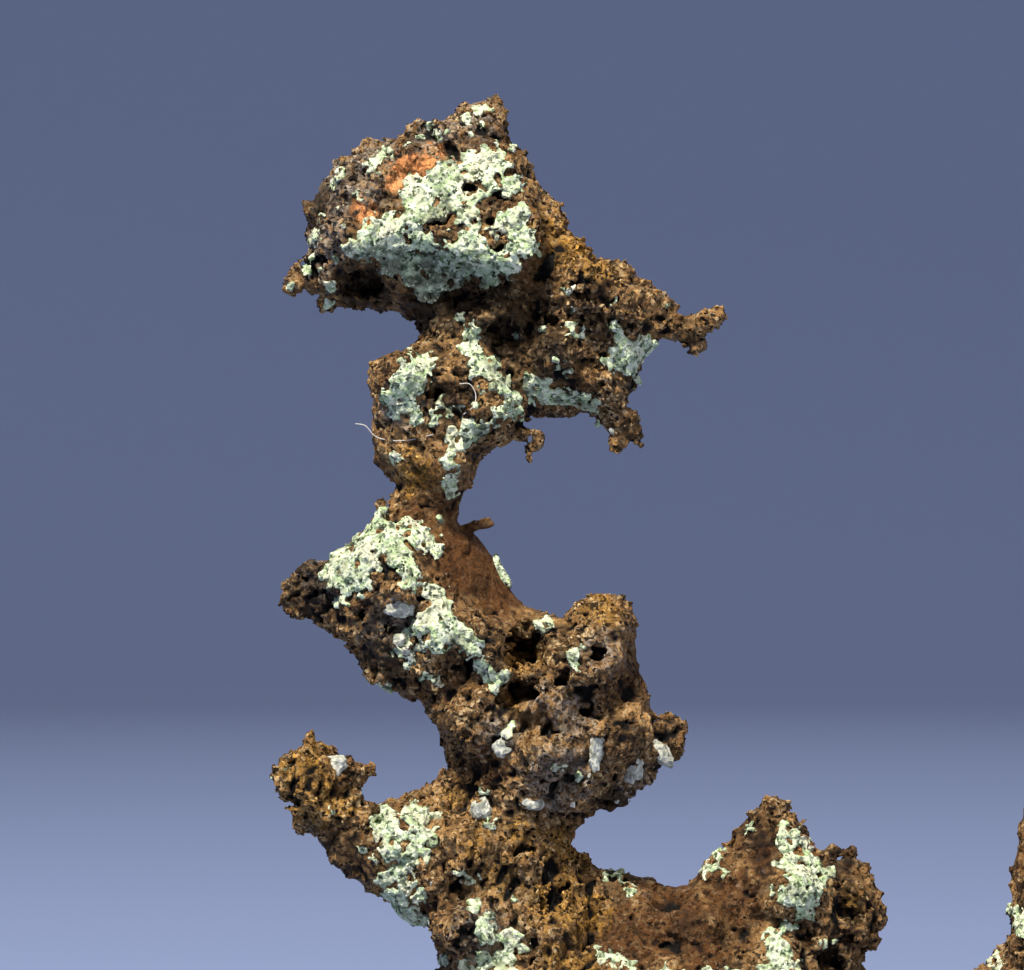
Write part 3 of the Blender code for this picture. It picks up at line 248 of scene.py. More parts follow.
# Small patches and crumbs of malachite with no solid of their own, on the front.
SPOTS = [
    (-17.2, 47.7, 0.34), (-16.9, 48.0, 0.26), (-17.4, 47.4, 0.24), (-18.2, 45.1, 0.26), (-18.3, 44.8, 0.26),
    (-15.4, 48.4, 0.34), (-14.9, 48.9, 0.32), (-14.6, 49.2, 0.24), (-11.9, 50.0, 0.36), (-11.6, 50.2, 0.24),
    (-10.7, 50.9, 0.3), (-10.1, 51.3, 0.34), (-9.5, 51.6, 0.26), (-12.5, 50.4, 0.22), (-8.3, 49.3, 0.28),
    (-17.5, 42.5, 0.28), (-18.7, 43.3, 0.2), (-17.6, 41.7, 0.22), (-19.4, 42.6, 0.2), (-13.1, 46.0, 0.2),
    (-5.6, 42.3, 0.22), (-5.2, 41.3, 0.22), (-5.5, 40.4, 0.32), (-5.1, 40.1, 0.22), (-8.1, 40.1, 0.2),
    (-6.9, 40.4, 0.2), (-3.3, 41.7, 0.16), (-0.7, 41.5, 0.16), (-6.3, 38.8, 0.16), (-6.0, 38.5, 0.17),
    (-5.6, 38.2, 0.15), (-11.2, 40.9, 0.26), (-10.9, 41.0, 0.22), (-10.4, 40.5, 0.2), (-10.2, 40.2, 0.3),
    (-2.1, 37.8, 0.2), (-4.1, 35.6, 0.15), (-14.1, 34.1, 0.3), (-14.3, 33.8, 0.2), (-10.3, 36.6, 0.2),
    (-11.9, 37.0, 0.14), (-10.0, 37.4, 0.18), (-9.2, 35.6, 0.2), (-13.5, 39.2, 0.25), (-12.0, 30.9, 0.1),
    (-14.8, 31.4, 0.2), (-12.3, 29.8, 0.25), (-16.8, 26.9, 0.3), (-15.9, 27.0, 0.24), (-14.0, 24.4, 0.4),
    (-13.4, 24.0, 0.35), (-13.0, 24.6, 0.3), (-12.5, 23.2, 0.35), (-12.1, 23.0, 0.3), (-14.9, 22.7, 0.32),
    (-14.5, 22.4, 0.24), (-5.2, 23.8, 0.35), (-5.0, 24.7, 0.26), (-5.3, 24.2, 0.26), (-7.0, 25.6, 0.32),
    (-6.6, 25.8, 0.26), (-9.3, 22.6, 0.3), (-8.8, 23.2, 0.3), (-8.7, 20.4, 0.28), (-8.4, 20.7, 0.2),
    (-6.2, 18.7, 0.22), (-5.8, 18.6, 0.18), (-5.0, 18.2, 0.15), (-9.8, 17.4, 0.26), (-9.5, 16.0, 0.25),
    (-10.4, 13.0, 0.3), (-11.0, 13.4, 0.2), (-15.8, 14.6, 0.22), (-15.3, 14.2, 0.18), (-12.3, 12.9, 0.2),
    (-12.4, 14.9, 0.35), (-12.1, 16.0, 0.3), (-12.6, 11.0, 0.3), (-11.8, 8.9, 0.3), (-8.2, 12.2, 0.12),
    (-20.1, 18.2, 0.12), (-19.5, 18.5, 0.12), (-17.3, 16.4, 0.12), (3.5, 15.4, 0.13), (5.0, 15.2, 0.22),
    (4.7, 13.8, 0.22), (4.6, 12.6, 0.22), (6.9, 12.8, 0.3), (6.9, 13.4, 0.24), (6.5, 11.1, 0.24),
    (7.0, 9.9, 0.3), (7.4, 10.1, 0.22), (7.5, 13.4, 0.24), (7.2, 13.1, 0.2), (-3.9, 9.4, 0.4),
    (-3.2, 9.1, 0.5), (-2.6, 8.8, 0.4), (-0.8, 8.7, 0.3), (-3.6, 12.9, 0.24), (-3.1, 13.1, 0.2),
    (-2.5, 12.4, 0.26), (1.5, 13.6, 0.34), (1.9, 14.1, 0.26), (1.2, 13.3, 0.2), (2.2, 13.2, 0.14),
    (16.8, 11.3, 0.26), (15.9, 8.9, 0.3), (15.6, 8.5, 0.24), (19.4, 13.0, 0.3), (-9.6, 5.6, 0.6),
    (-8.9, 5.1, 0.4), (2.2, 5.4, 0.7), (3.0, 5.0, 0.5), (12.6, 5.2, 0.45), (17.6, 4.4, 0.5),
    (-11.9, 36.6, 0.2), (-11.3, 36.9, 0.18), (-11.5, 36.2, 0.2), (-10.9, 36.6, 0.18), (-12.3, 36.3, 0.18),
    (-16.3, 47.0, 0.14), (-15.9, 46.7, 0.12), (-17.0, 46.3, 0.14), (-16.6, 45.4, 0.12), (-15.0, 48.0, 0.12),
    (-14.4, 48.6, 0.14), (-13.6, 49.4, 0.14), (-13.0, 49.9, 0.12), (-11.2, 49.4, 0.12), (-10.4, 50.0, 0.14),
    (-9.8, 50.5, 0.12), (-17.9, 46.1, 0.12), (-18.4, 44.0, 0.14), (-18.0, 43.4, 0.12), (-17.2, 43.9, 0.12),
]

# Patches on the back.
BACK_SPOTS = [
    (-14.0, 47.0, 0.9), (-13.2, 46.4, 0.7), (-12.6, 47.2, 0.6), (-5.0, 41.4, 0.6), (-5.8, 41.0, 0.5),
    (-12.4, 36.8, 0.8), (-12.0, 35.9, 0.6), (-8.6, 28.4, 0.9), (-9.4, 27.7, 0.8), (-9.9, 26.9, 0.6),
    (-4.4, 22.2, 0.7), (-5.0, 21.6, 0.5), (-9.0, 12.8, 0.9), (-9.6, 12.0, 0.7), (-8.9, 11.3, 0.6),
    (1.6, 11.6, 0.8), (2.5, 11.0, 0.7), (3.0, 12.0, 0.5), (6.6, 12.4, 0.5), (-6.0, 4.4, 0.9),
    (-7.0, 4.0, 0.7), (8.0, 4.2, 0.8), (8.9, 4.6, 0.6), (17.4, 5.0, 0.6), (-15.4, 28.4, 0.6),
]

# Where a crust is painted darker: painted shade on the crown's underside and at the neck, and a darker spot on
# the stem: (x, z, radius) in mm.
CRUST_SHADE = [
    (-11.5, 36.7, 0.9), (-12.6, 41.8, 0.7), (-13.6, 42.6, 0.8), (-16.4, 43.5, 0.7), (-15.3, 43.6, 0.8),
    (-14.3, 43.5, 0.8), (-12.8, 43.0, 0.9), (-11.6, 42.8, 0.8), (-10.5, 42.8, 0.6), (-9.0, 8.9, 0.3),
]

# Bare copper that shows through the crusts: (x, z, radius) in mm.
GAPS = [
    (-12.0, 45.2, 0.5), (-11.4, 44.9, 0.4), (-12.6, 45.3, 0.28), (-10.5, 47.25, 0.35), (-8.75, 46.5, 0.38),
    (-9.6, 45.6, 0.4), (-9.0, 44.25, 0.36), (-12.7, 44.1, 0.18), (-15.1, 27.5, 0.35), (-13.8, 27.2, 0.3),
    (-12.7, 28.5, 0.25), (-16.1, 28.6, 0.2), (-13.7, 14.9, 0.22), (-9.0, 9.9, 0.25),
]

# Copper under a film of grey dust: (x, z, radius) in mm.
DUSTY = [
    (-16.5, 47.3, 1.9), (-15.4, 49.0, 1.2), (-17.9, 44.7, 1.4), (-12.2, 49.8, 1.2), (-10.2, 50.7, 1.0),
    (-6.0, 18.2, 1.7), (-9.0, 20.4, 0.8), (-17.6, 28.0, 1.3), (-14.5, 25.6, 1.3), (-5.4, 21.2, 1.1),
    (-9.9, 10.4, 1.3), (-2.2, 17.4, 1.0), (-14.0, 36.6, 0.9), (-7.0, 22.2, 0.6), (-3.8, 24.4, 0.9),
]

# Calcite grains: middle (x, z), half sizes (along, across) and turn in degrees.
GRAINS = {
    "point_grain": ((-13.9, 26.7), (1.05, 0.72), 8.0),
    "body_grain": ((-8.8, 19.7), (0.72, 0.55), -30.0),
    "body_sliver": ((-4.25, 19.7), (0.4, 1.45), 4.0),
    "body_low_grain": ((-7.4, 16.9), (0.72, 0.42), 0.0),
    "stem_grain": ((-9.9, 16.6), (0.66, 0.6), 20.0),
    "lobe_grain_a": ((-2.35, 18.6), (0.48, 0.98), 6.0),
    "lobe_grain_b": ((-0.95, 19.2), (0.42, 0.98), -28.0),
    "knob_grain": ((-17.1, 18.7), (0.6, 0.6), -35.0),
}

# Loose calcite bits: (x, z, half size) in mm.
BITS = [
    (-13.9, 24.9, 0.5), (-13.6, 24.4, 0.4), (-12.5, 23.1, 0.35), (-8.6, 20.5, 0.3), (-6.3, 18.7, 0.26),
    (-5.4, 16.8, 0.22), (-6.2, 16.8, 0.42), (-3.2, 16.9, 0.24), (-4.5, 18.3, 0.24), (-3.4, 35.3, 0.24),
    (-14.2, 34.1, 0.26), (-17.3, 47.7, 0.26), (-12.0, 50.0, 0.22), (-9.8, 51.4, 0.2), (-15.8, 14.5, 0.2),
    (-12.4, 13.0, 0.16), (6.2, 14.9, 0.3), (5.8, 15.3, 0.26), (6.5, 14.4, 0.3), (7.5, 13.3, 0.28),
    (-18.2, 45.0, 0.26), (-10.9, 13.0, 0.2), (16.0, 8.9, 0.22), (-8.3, 49.2, 0.2),
]

# Lint: the x and z of each path in mm, how far it stands off the copper, and the stretches it is
# bent in between two of its points.
FIBRES = [
    [(-16.2, 35.65), (-15.7, 35.55), (-15.3, 35.1), (-14.9, 34.9), (-14.2, 34.8), (-13.4, 34.85),
     (-12.3, 35.1)],
    [(-11.0, 37.6), (-10.5, 37.6), (-10.2, 37.1), (-10.3, 36.5), (-10.8, 36.1)],
]
FIBRE_STAND_OFF = 0.2
FIBRE_STRETCHES = 6

# The copper's skin in mm: the spread that rounds it, how far that sinks it, the same spread for the
# smooth facet, and how far from the skin the crumbly surface reaches.
ROUNDED = 0.16
SUNK = 0.03
PLANED = 0.8
CRUMBLY = 0.75

# How far a node's piece dips under its neighbours' skin, in mm.
DIP = 0.4

# Small crust patches, in mm: distance between samples, and how close those of one group lie.
PATCH_STEP = 0.1
GROUPED = 1.2

# Calcite in mm: half the depth of a grain, where its front is flat, and how far back it is set.
GRAIN_DEPTH = 0.55
GRAIN_FRONT = -0.38
GRAIN_SEAT = (0, 0.12, 0)

# Strewn crumbs in metres: half sizes of the smallest of each kind, and how far they sink in. The
# lowest stretch of the copper, in mm, has none.
SMALLEST_CRUMB = 0.00006
SMALLEST_GRANULE = 0.00003
SINK = 0.00002
NO_CRUMBS_BELOW = 0.6


def linear(code):
    """A colour's sRGB hex code as linear red, green, blue and alpha."""
    parts = [int(code[start:start + 2], 16) / 255 for start in (1, 3, 5)]
    return tuple(p / 12.92 if p <= 0.04045 else ((p + 0.055) / 1.055) ** 2.4 for p in parts) + (1.0,)


class Lattice:
    """A block of samples: sample (i, j, k) stands at (first + (i, j, k)) * step, in mm."""

    def __init__(self, low, high, step):
        self.step = step
        self.first = np.floor(np.asarray(low) / step).astype(int)
        self.count = np.ceil(np.asarray(high) / step).astype(int) - self.first + 1

    def filled(self, value):
        """A block with one value everywhere."""
        return np.full(self.count, value, np.float32)

    def whole(self):
        """Slices of all the samples."""
        return tuple(slice(0, int(count)) for count in self.count)

    def window(self, low, high):
        """Slices of the samples between two corners."""
        start = np.floor(np.asarray(low) / self.step).astype(int) - self.first
        stop = np.ceil(np.asarray(high) / self.step).astype(int) - self.first + 1
        return tuple(slice(*ends) for ends in np.clip([start, stop], 0, self.count).T)

    def places(self, chosen):
        """Where the chosen samples stand, from a mask or from slices."""
        if isinstance(chosen, np.ndarray):
            index = np.argwhere(chosen)
        else:
            index = np.stack(np.meshgrid(*[np.arange(s.start, s.stop) for s in chosen],
                                         indexing="ij"), axis=-1)
        return ((index + self.first) * self.step).astype(np.float32)

    def at(self, block, places):
        """A block's values at any places, between its samples."""
        where = places / self.step - self.first
        where = np.clip(places / self.step - self.first, 0, self.count - 1.001)
        return blend_corners(block, where)


def blend_corners(block, where):
    """Trilinear values; places past the block's end wrap round."""
    base = np.floor(where).astype(np.int32)
    part = (where - base).astype(np.float32)
    total = np.zeros(where.shape[:-1], np.float32)
    ends = []
    for axis in range(3):
        low = base[..., axis] % block.shape[axis]
        high = (base[..., axis] + 1) % block.shape[axis]
        ends.append(((low, 1 - part[..., axis]), (high, part[..., axis])))
    for x, x_share in ends[0]:
        for y, y_share in ends[1]:
            share = x_share * y_share
            for z, z_share in ends[2]:
                total += share * z_share * block[x, y, z]
    return total


def blurred(block, spread):
    """A block smoothed by a bell of the given spread in samples."""
    reach = int(math.ceil(2.5 * spread))
    weights = np.exp(-0.5 * (np.arange(-reach, reach + 1) / spread) ** 2)
    weights = (weights / weights.sum()).astype(np.float32)
    for axis in range(3):
        pad = [(reach, reach) if axis == other else (0, 0) for other in range(3)]
        padded = np.pad(block, pad, mode="edge")
        length = block.shape[axis]
        block = np.zeros_like(block)
        for number, weight in enumerate(weights):
            block += weight * padded[(slice(None),) * axis + (slice(number, number + length),)]
    return block


# Noise is read from repeating blocks, TILE samples wide.
TILE = 64
WAVES = 8
CELLS = 10


def wave_tile(seed):
    """A repeating block of smooth noise, WAVES waves across, of mean 0 and spread 1."""
    noise = np.random.default_rng(seed).standard_normal((TILE, TILE, TILE))
    turns = np.fft.fftfreq(TILE) * TILE
    speed = np.sqrt(turns[:, None, None] ** 2 + turns[None, :, None] ** 2 + turns[None, None, :] ** 2)
    keep = np.exp(-((speed - WAVES) / (0.45 * WAVES)) ** 2)
    block = np.fft.ifftn(np.fft.fftn(noise) * keep).real
    return (block / block.std()).astype(np.float32)


def cell_tiles(seed):
    """Repeating blocks round CELLS cubed scattered points: distance, in cells, and tilted facets."""
    random = np.random.default_rng(seed)
    points = random.random((CELLS, CELLS, CELLS, 3))
    tilts = random.standard_normal((CELLS, CELLS, CELLS, 3))
    tilts /= np.linalg.norm(tilts, axis=-1, keepdims=True)
    lifts = random.uniform(-1, 1, (CELLS, CELLS, CELLS))
    axis = np.arange(TILE) * CELLS / TILE
    place = np.stack(np.meshgrid(axis, axis, axis, indexing="ij"), axis=-1)
    home = np.floor(place).astype(int)
    nearest = np.full((TILE, TILE, TILE), 9.0)
    facets = np.zeros((TILE, TILE, TILE))
    for step in np.ndindex(3, 3, 3):
        cell = home + np.array(step) - 1
        index = tuple(np.moveaxis(cell % CELLS, -1, 0))
        away = place - cell - points[index]
        distance = np.linalg.norm(away, axis=-1)
        closer = distance < nearest
        nearest[closer] = distance[closer]
        facet = 0.8 * lifts[index] + 1.5 * (away * tilts[index]).sum(axis=-1)
        facets[closer] = facet[closer]
    return nearest.astype(np.float32), (facets / facets.std()).astype(np.float32)


TURNS = [Matrix.Rotation(angle, 3, axis) for angle, axis in
         ((0.7, Vector((1, 2, 3))), (1.9, Vector((3, -1, 1))),
          (2.6, Vector((-1, 1, 2))), (4.1, Vector((2, 3, -2))))]
WAVE = wave_tile(11)
CELL, FACET = cell_tiles(23)


def waves(places, size, turn=0):
    """Smooth noise whose waves are size mm long."""
    turned = places @ np.array(TURNS[turn], np.float32)
    return blend_corners(WAVE, turned * (TILE / WAVES / size) + 17.3 * turn)


def cells(places, size, turn=0, tile=None):
    """Distance to the nearest scattered point, in cells of size mm, or another tile's values."""
    turned = places @ np.array(TURNS[turn], np.float32)
    tile = CELL if tile is None else tile
    return blend_corners(tile, turned * (TILE / CELLS / size) + 9.1 * turn)


def facets(places, size, turn=0):
    """Tilted flats, one to each grain of size mm, stepped at their borders."""
    return cells(places, size, turn, FACET)


def ramp(value, start, stop):
    """0 below start, 1 above stop, smooth between."""
    part = np.clip((value - start) / (stop - start), 0, 1)
    return part * part * (3 - 2 * part)


def dab_reach(places, dabs):
    """How deep each place lies inside the nearest (x, z, radius) dab, in mm; negative outside."""
    reach = np.full(places.shape[:-1], -9.0, np.float32)
    for x, z, radius in dabs:
        away = np.hypot(places[..., 0] - np.float32(x), places[..., 2] - np.float32(z))
        reach = np.maximum(reach, radius - away)
    return reach


def zone(places, dabs, soft=0.6):
    """1 inside the dabs, falling to 0 outside over a soft, uneven edge."""
    return ramp(dab_reach(places, dabs) + 0.25 * waves(places, 1.2, 3), -soft, soft)


def corners_mm(mesh):
    """A mesh's corners in mm."""
    flat = np.empty(len(mesh.vertices) * 3, np.float32)
    mesh.vertices.foreach_get("co", flat)
    return flat.reshape(-1, 3) / MM


def node_solid(node):
    """A node's corners in mm and its triangles, with shared corners merged."""
    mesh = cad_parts[node].data
    faces = np.empty(len(mesh.loops), np.int32)
    mesh.loops.foreach_get("vertex_index", faces)
    merged, index = np.unique(np.round(corners_mm(mesh), 4), axis=0, return_inverse=True)
    return merged.astype(np.float32), index.reshape(-1)[faces].reshape(-1, 3).astype(np.uint32)


def distance_block(corners, faces, lattice, window):
    """The distance to a closed surface over a window of the lattice, negative inside."""
    transform = openvdb.createLinearTransform(voxelSize=lattice.step)
    grid = openvdb.FloatGrid.createLevelSetFromPolygons(
        corners, triangles=faces, transform=transform, halfWidth=BAND / lattice.step)
    block = np.empty([s.stop - s.start for s in window], np.float32)
    start = lattice.first + [s.start for s in window]
    grid.copyToArray(block, ijk=tuple(int(n) for n in start))
    return block


def polygons(block, first, step, level=0.0, adaptivity=0.0):
    """Corners in mm and triangles where a block of distances crosses a level."""
    grid = openvdb.FloatGrid(BAND)
    grid.copyFromArray(np.ascontiguousarray(block, np.float32), ijk=tuple(int(n) for n in first))
    grid.transform = openvdb.createLinearTransform(voxelSize=step)
    points, triangles, quads = grid.convertToPolygons(isovalue=level, adaptivity=adaptivity)
    faces = np.concatenate([triangles, quads[:, [0, 1, 2]], quads[:, [0, 2, 3]]])
    return points, outward(points, faces)


def volumes(points, faces):
    """Six times the volume between each triangle and the middle of the frame."""
    a, b, c = (points[faces[:, n]].astype(np.float64) for n in range(3))
    return np.einsum("ij,ij->i", a, np.cross(b, c))


def outward(points, faces):
    """Triangles turned to face away from the closed body that they bound."""
    if volumes(points, faces).sum() < 0:
        faces = faces[:, ::-1]
    return np.ascontiguousarray(faces)


def mesh_from_faces(name, points, faces, smooth=True):
    """A mesh in metres from corners in mm and triangles."""
    mesh = bpy.data.meshes.new(name)
    mesh.vertices.add(len(points))
    mesh.vertices.foreach_set("co", (points * MM).astype(np.float32).ravel())
    mesh.loops.add(len(faces) * 3)
    mesh.loops.foreach_set("vertex_index", faces.astype(np.int32).ravel())
    mesh.polygons.add(len(faces))
    mesh.polygons.foreach_set("loop_start", np.arange(0, len(faces) * 3, 3, dtype=np.int32))
    mesh.polygons.foreach_set("use_smooth", np.full(len(faces), smooth))
    mesh.update(calc_edges=True)
    return mesh


def joined(parts):
    """Several (points, faces) as one."""
    starts = np.cumsum([0] + [len(points) for points, _ in parts[:-1]])
    faces = [faces + start for (_, faces), start in zip(parts, starts)]
    return np.concatenate([points for points, _ in parts]), np.concatenate(faces)


def keep_colour(mesh, name, *channels):
    """Store up to four values per corner as a colour attribute."""
    values = np.zeros((len(mesh.vertices), 4), np.float32)
    for number, channel in enumerate(channels):
        values[:, number] = np.clip(channel, 0, 1)
    layer = mesh.attributes.new(name, "FLOAT_COLOR", "POINT")
    layer.data.foreach_set("color", values.ravel())


def shells(count, faces):
    """The lowest corner of the closed shell that each corner is part of."""
    label = np.arange(count)
    start, stop = faces.ravel(), faces[:, [1, 2, 0]].ravel()
    while True:
        low = np.minimum(label[start], label[stop])
        new = label.copy()
        for side in (label[start], label[stop], start, stop):
            np.minimum.at(new, side, low)
        new = new[new]
        if (new == label).all():
            return label
        label = new


def grow(mask):
    """A mask and its six neighbours on a lattice."""
    wide = mask.copy()
    for axis in range(3):
        ahead = [slice(None)] * 3
        behind = [slice(None)] * 3
        ahead[axis], behind[axis] = slice(1, None), slice(None, -1)
        wide[tuple(ahead)] |= mask[tuple(behind)]
        wide[tuple(behind)] |= mask[tuple(ahead)]
    return wide


class Copper(Lattice):
    """The copper as distances on a lattice: rounded skin, crumbly surface and the nodes' shares."""

    def __init__(self, step):
        low, high = (np.array(corner) / MM for corner in CAD_BOX)
        super().__init__(low - MARGIN, high + MARGIN, step)
        self.shares = {}
        self.nearest = self.filled(BAND)
        self.second = self.filled(BAND)
        for node in COPPER_NODES:
            corners, faces = node_solid(node)
            window = self.window(corners.min(axis=0) - BAND, corners.max(axis=0) + BAND)
            block = distance_block(corners, faces, self, window)
            old = self.nearest[window]
            self.second[window] = np.minimum(self.second[window], np.maximum(old, block))
            self.nearest[window] = np.minimum(old, block)
            self.shares[node] = window, block
        self.skin = blurred(self.closed_over(), ROUNDED / step) - SUNK
        self.plane()
        self.note_sides(self.skin)
        self.carve()
        self.note_sides(self.skin)
        near = np.abs(self.skin) < CRUMBLY
        self.surface = self.skin.copy()
        places = self.places(near)
        covered = ramp(dab_reach(places, sum(CRUSTS.values(), [])), -0.3, 0.2)
        covered *= ramp(places[:, 1] - self.side_at(places), 1.6, 0.8)
        self.surface[near] -= relief(places) * (1 - 0.75 * covered)
        depth = -(self.first[2] + np.arange(self.count[2])) * step
        self.surface = np.maximum(self.surface, depth.astype(np.float32))
        self.drop_loose()
        self.note_sides(self.surface)
        # Crowding and its wider blur, the hollows: they guide the crumbs, and the colours paint shade from
        # them.
        self.crowd = blurred((self.surface < 0).astype(np.float32), 0.3 / step)
        self.hollow = blurred(self.crowd, 0.75 / step)

    def closed_over(self):
        """The copper's distances with the gaps at the forks filled."""
        reach = CLOSED_OVER / 2
        points, faces = polygons(self.nearest, self.first, self.step, reach)
        return distance_block(points, faces.astype(np.uint32), self, self.whole()) + reach

    def plane(self):
        """Take the swells off the smooth facet."""
        near = np.abs(self.skin) < BAND
        level = zone(self.places(near), CALM, 0.8)
        planed = blurred(self.skin, PLANED / self.step)
        self.skin[near] += level * (planed[near] - self.skin[near])

    def drop_loose(self):
        """Clear away specks of copper that touch nothing and fill shut bubbles."""
        points, faces = polygons(self.surface, self.first, self.step)
        shell = shells(len(points), faces)
        volume = np.bincount(shell[faces[:, 0]], volumes(points, faces), len(points))
        cells = np.floor(points / self.step).astype(int) - self.first
        order = np.argsort(shell, kind="stable")
        parts = np.split(order, np.flatnonzero(np.diff(shell[order])) + 1)
        main = max(len(part) for part in parts)
        for part in parts:
            if len(part) == main:
                continue
            low = np.maximum(cells[part].min(axis=0) - 1, 0)
            window = tuple(slice(a, b) for a, b in zip(low, cells[part].max(axis=0) + 3))
            block = self.surface[window]
            sign = 1.0 if volume[shell[part[0]]] > 0 else -1.0
            inside = block * sign < 0
            found = np.zeros_like(inside)
            for step in np.ndindex(2, 2, 2):
                found[tuple((cells[part] - low + step).T)] = True
            found &= inside
            while True:
                grown = grow(found) & inside
                if grown.sum() == found.sum():
                    break
                found = grown
            block[found] = sign * self.step * 0.5

    def note_sides(self, block):
        """Keep the y of a block's front and back surfaces for every x and z."""
        self.front, self.back = self.outermost(block, -1), self.outermost(block, 1)

    def outermost(self, block, side):
        """The y of the front (side -1) or back (side 1) surface for every x and z."""
        inside = block < 0
        first = inside.argmax(axis=1)
        last = block.shape[1] - 1 - inside[:, ::-1].argmax(axis=1)
        found = ((first if side < 0 else last) + self.first[1]) * self.step
        return np.where(inside.any(axis=1), found, np.nan).astype(np.float32)

    def side_at(self, places, side=-1):
        """The y of the front or back surface at places' x and z; far away where there is none."""
        ends = [0, 2]
        index = np.round(places[..., ends] / self.step).astype(int) - self.first[ends]
        index = np.clip(index, 0, self.count[ends] - 1)
        found = (self.front if side < 0 else self.back)[index[..., 0], index[..., 1]]
        return np.where(np.isnan(found), -99.0 * side, found)

    def spot(self, x, z, side=-1):
        """A point on the front or back surface at x and z, or beside it where that misses."""
        turns = np.arange(0, 6.2, 0.7)
        for reach in (0, 0.15, 0.3, 0.5, 0.8):
            ring = [(x + reach * math.cos(turn), 0, z + reach * math.sin(turn)) for turn in turns]
            found = self.side_at(np.array(ring), side)
            found = found[np.abs(found) < 50]
            if len(found):
                return np.array([x, found.min() if side < 0 else found.max(), z])
        return np.array([x, 0.0, z])

    def carve(self):
        """Sink the hollows into the skin and grow the rims and spurs on it."""
        for x, z, wide, high, deep in HOLLOWS:
            middle = self.spot(x, z) + (0, 0.12 * deep, 0)
            half = np.array([wide, deep, high])
            window = self.window(middle - half - 0.3, middle + half + 0.3)
            away = self.places(window) - middle
            away[..., 0] += 0.12 * waves(away + middle, 0.8, 0)
            gap = (np.linalg.norm(away / half, axis=-1) - 1) * half.min()
            self.skin[window] = np.maximum(self.skin[window], -gap)
        for x, z, radius, height in RIMS:
            middle = self.spot(x, z)
            window = self.window(middle - radius - 0.5, middle + radius + 0.5)
            away = self.places(window) - middle
            off = np.abs(np.hypot(away[..., 0], away[..., 2]) - radius)
            self.skin[window] -= height * ramp(off, 0.3, 0.0)
        for chain in SPURS:
            x, _, z, _ = chain[0]
            root = (self.spot(x, z)[1] + self.spot(x, z, 1)[1]) / 2
            balls = [np.array([x, root - off, z, radius]) for x, off, z, radius in chain]
            for start, stop in zip(balls, balls[1:]):
                self.add_spur(start, stop)

    def add_spur(self, start, stop):
        """Join one tapered stretch of a spur on to the skin."""
        low = np.minimum(start[:3] - start[3], stop[:3] - stop[3]) - 0.6
        high = np.maximum(start[:3] + start[3], stop[:3] + stop[3]) + 0.6
        window = self.window(low, high)
        places = self.places(window)
        run = (stop - start)[:3]
        along = np.clip((places - start[:3]) @ run / (run @ run), 0, 1)
        radius = start[3] + along * (stop[3] - start[3])
        gap = np.linalg.norm(places - start[:3] - along[..., None] * run, axis=-1) - radius
        old = self.skin[window]
        fillet = np.maximum(0.25 - np.abs(old - gap), 0) ** 2
        self.skin[window] = np.minimum(old, gap) - fillet

    def piece(self, node, step):
        """A node's share of the crumbly surface; its edges dip under its neighbours' skin."""
        window, own = self.shares[node]
        others = np.where(own <= self.nearest[window], self.second[window], self.nearest[window])
        past = own - others
        block = self.surface[window] + np.maximum(past, 0)
        block = np.maximum(block, past - DIP)
        first = self.first + [s.start for s in window]
        if step > self.step:
            low = first * self.step
            end = np.array(block.shape) - 1
            coarse = Lattice(low, low + end * self.step, step)
            where = coarse.places(coarse.whole()) / self.step - first
            block = blend_corners(block, np.clip(where, 0, end - 0.001))
            first = coarse.first
        return polygons(block, first, step, adaptivity=0.01)


def relief(places):
    """How far the copper's surface stands out, in mm: swells, angular crumbs, crevices and pores."""
    calm = zone(places, CALM, 0.5)
    fine = zone(places, FINE, 0.8)
    wild = zone(places, WILD, 0.8)
    coarse = (1 - 0.8 * calm) * (1 - 0.45 * fine) * (1 + 0.35 * wild)
    swell = (1 - 0.8 * calm) * (0.09 * waves(places, 2.4, 0) + 0.04 * waves(places, 1.1, 1))
    lumps = 0.10 * facets(places, 1.15, 1)
    crumbs = 0.09 * facets(places, 0.6, 2) + 0.055 * facets(places, 0.36, 0)
    streaked = ramp(dab_reach(places, STREAKED), -0.6, 0.8)
    grain = places * np.array([1.0, 0.8, 0.28], np.float32)
    grain[..., 0] -= 0.35 * places[..., 2]
    streaks = 0.12 * streaked * waves(grain, 0.62, 3)
    winding = np.abs(waves(places, 1.15, 2))
    crevices = 0.21 * ramp(winding, 0.30, 0.04) * ramp(waves(places, 3.1, 3), -0.5, 0.6)
    pores = 0.34 * ramp(cells(places, 0.85, 3), 0.28, 0.14) * ramp(waves(places, 2.2, 1), 0.0, 0.8)
    pores *= 1 - 0.6 * streaked
    grown = swell + coarse * (lumps + crumbs * (1 - 0.45 * streaked)) + streaks
    return grown - (1 - 0.8 * calm) * (1 - 0.4 * fine) * (crevices + pores)


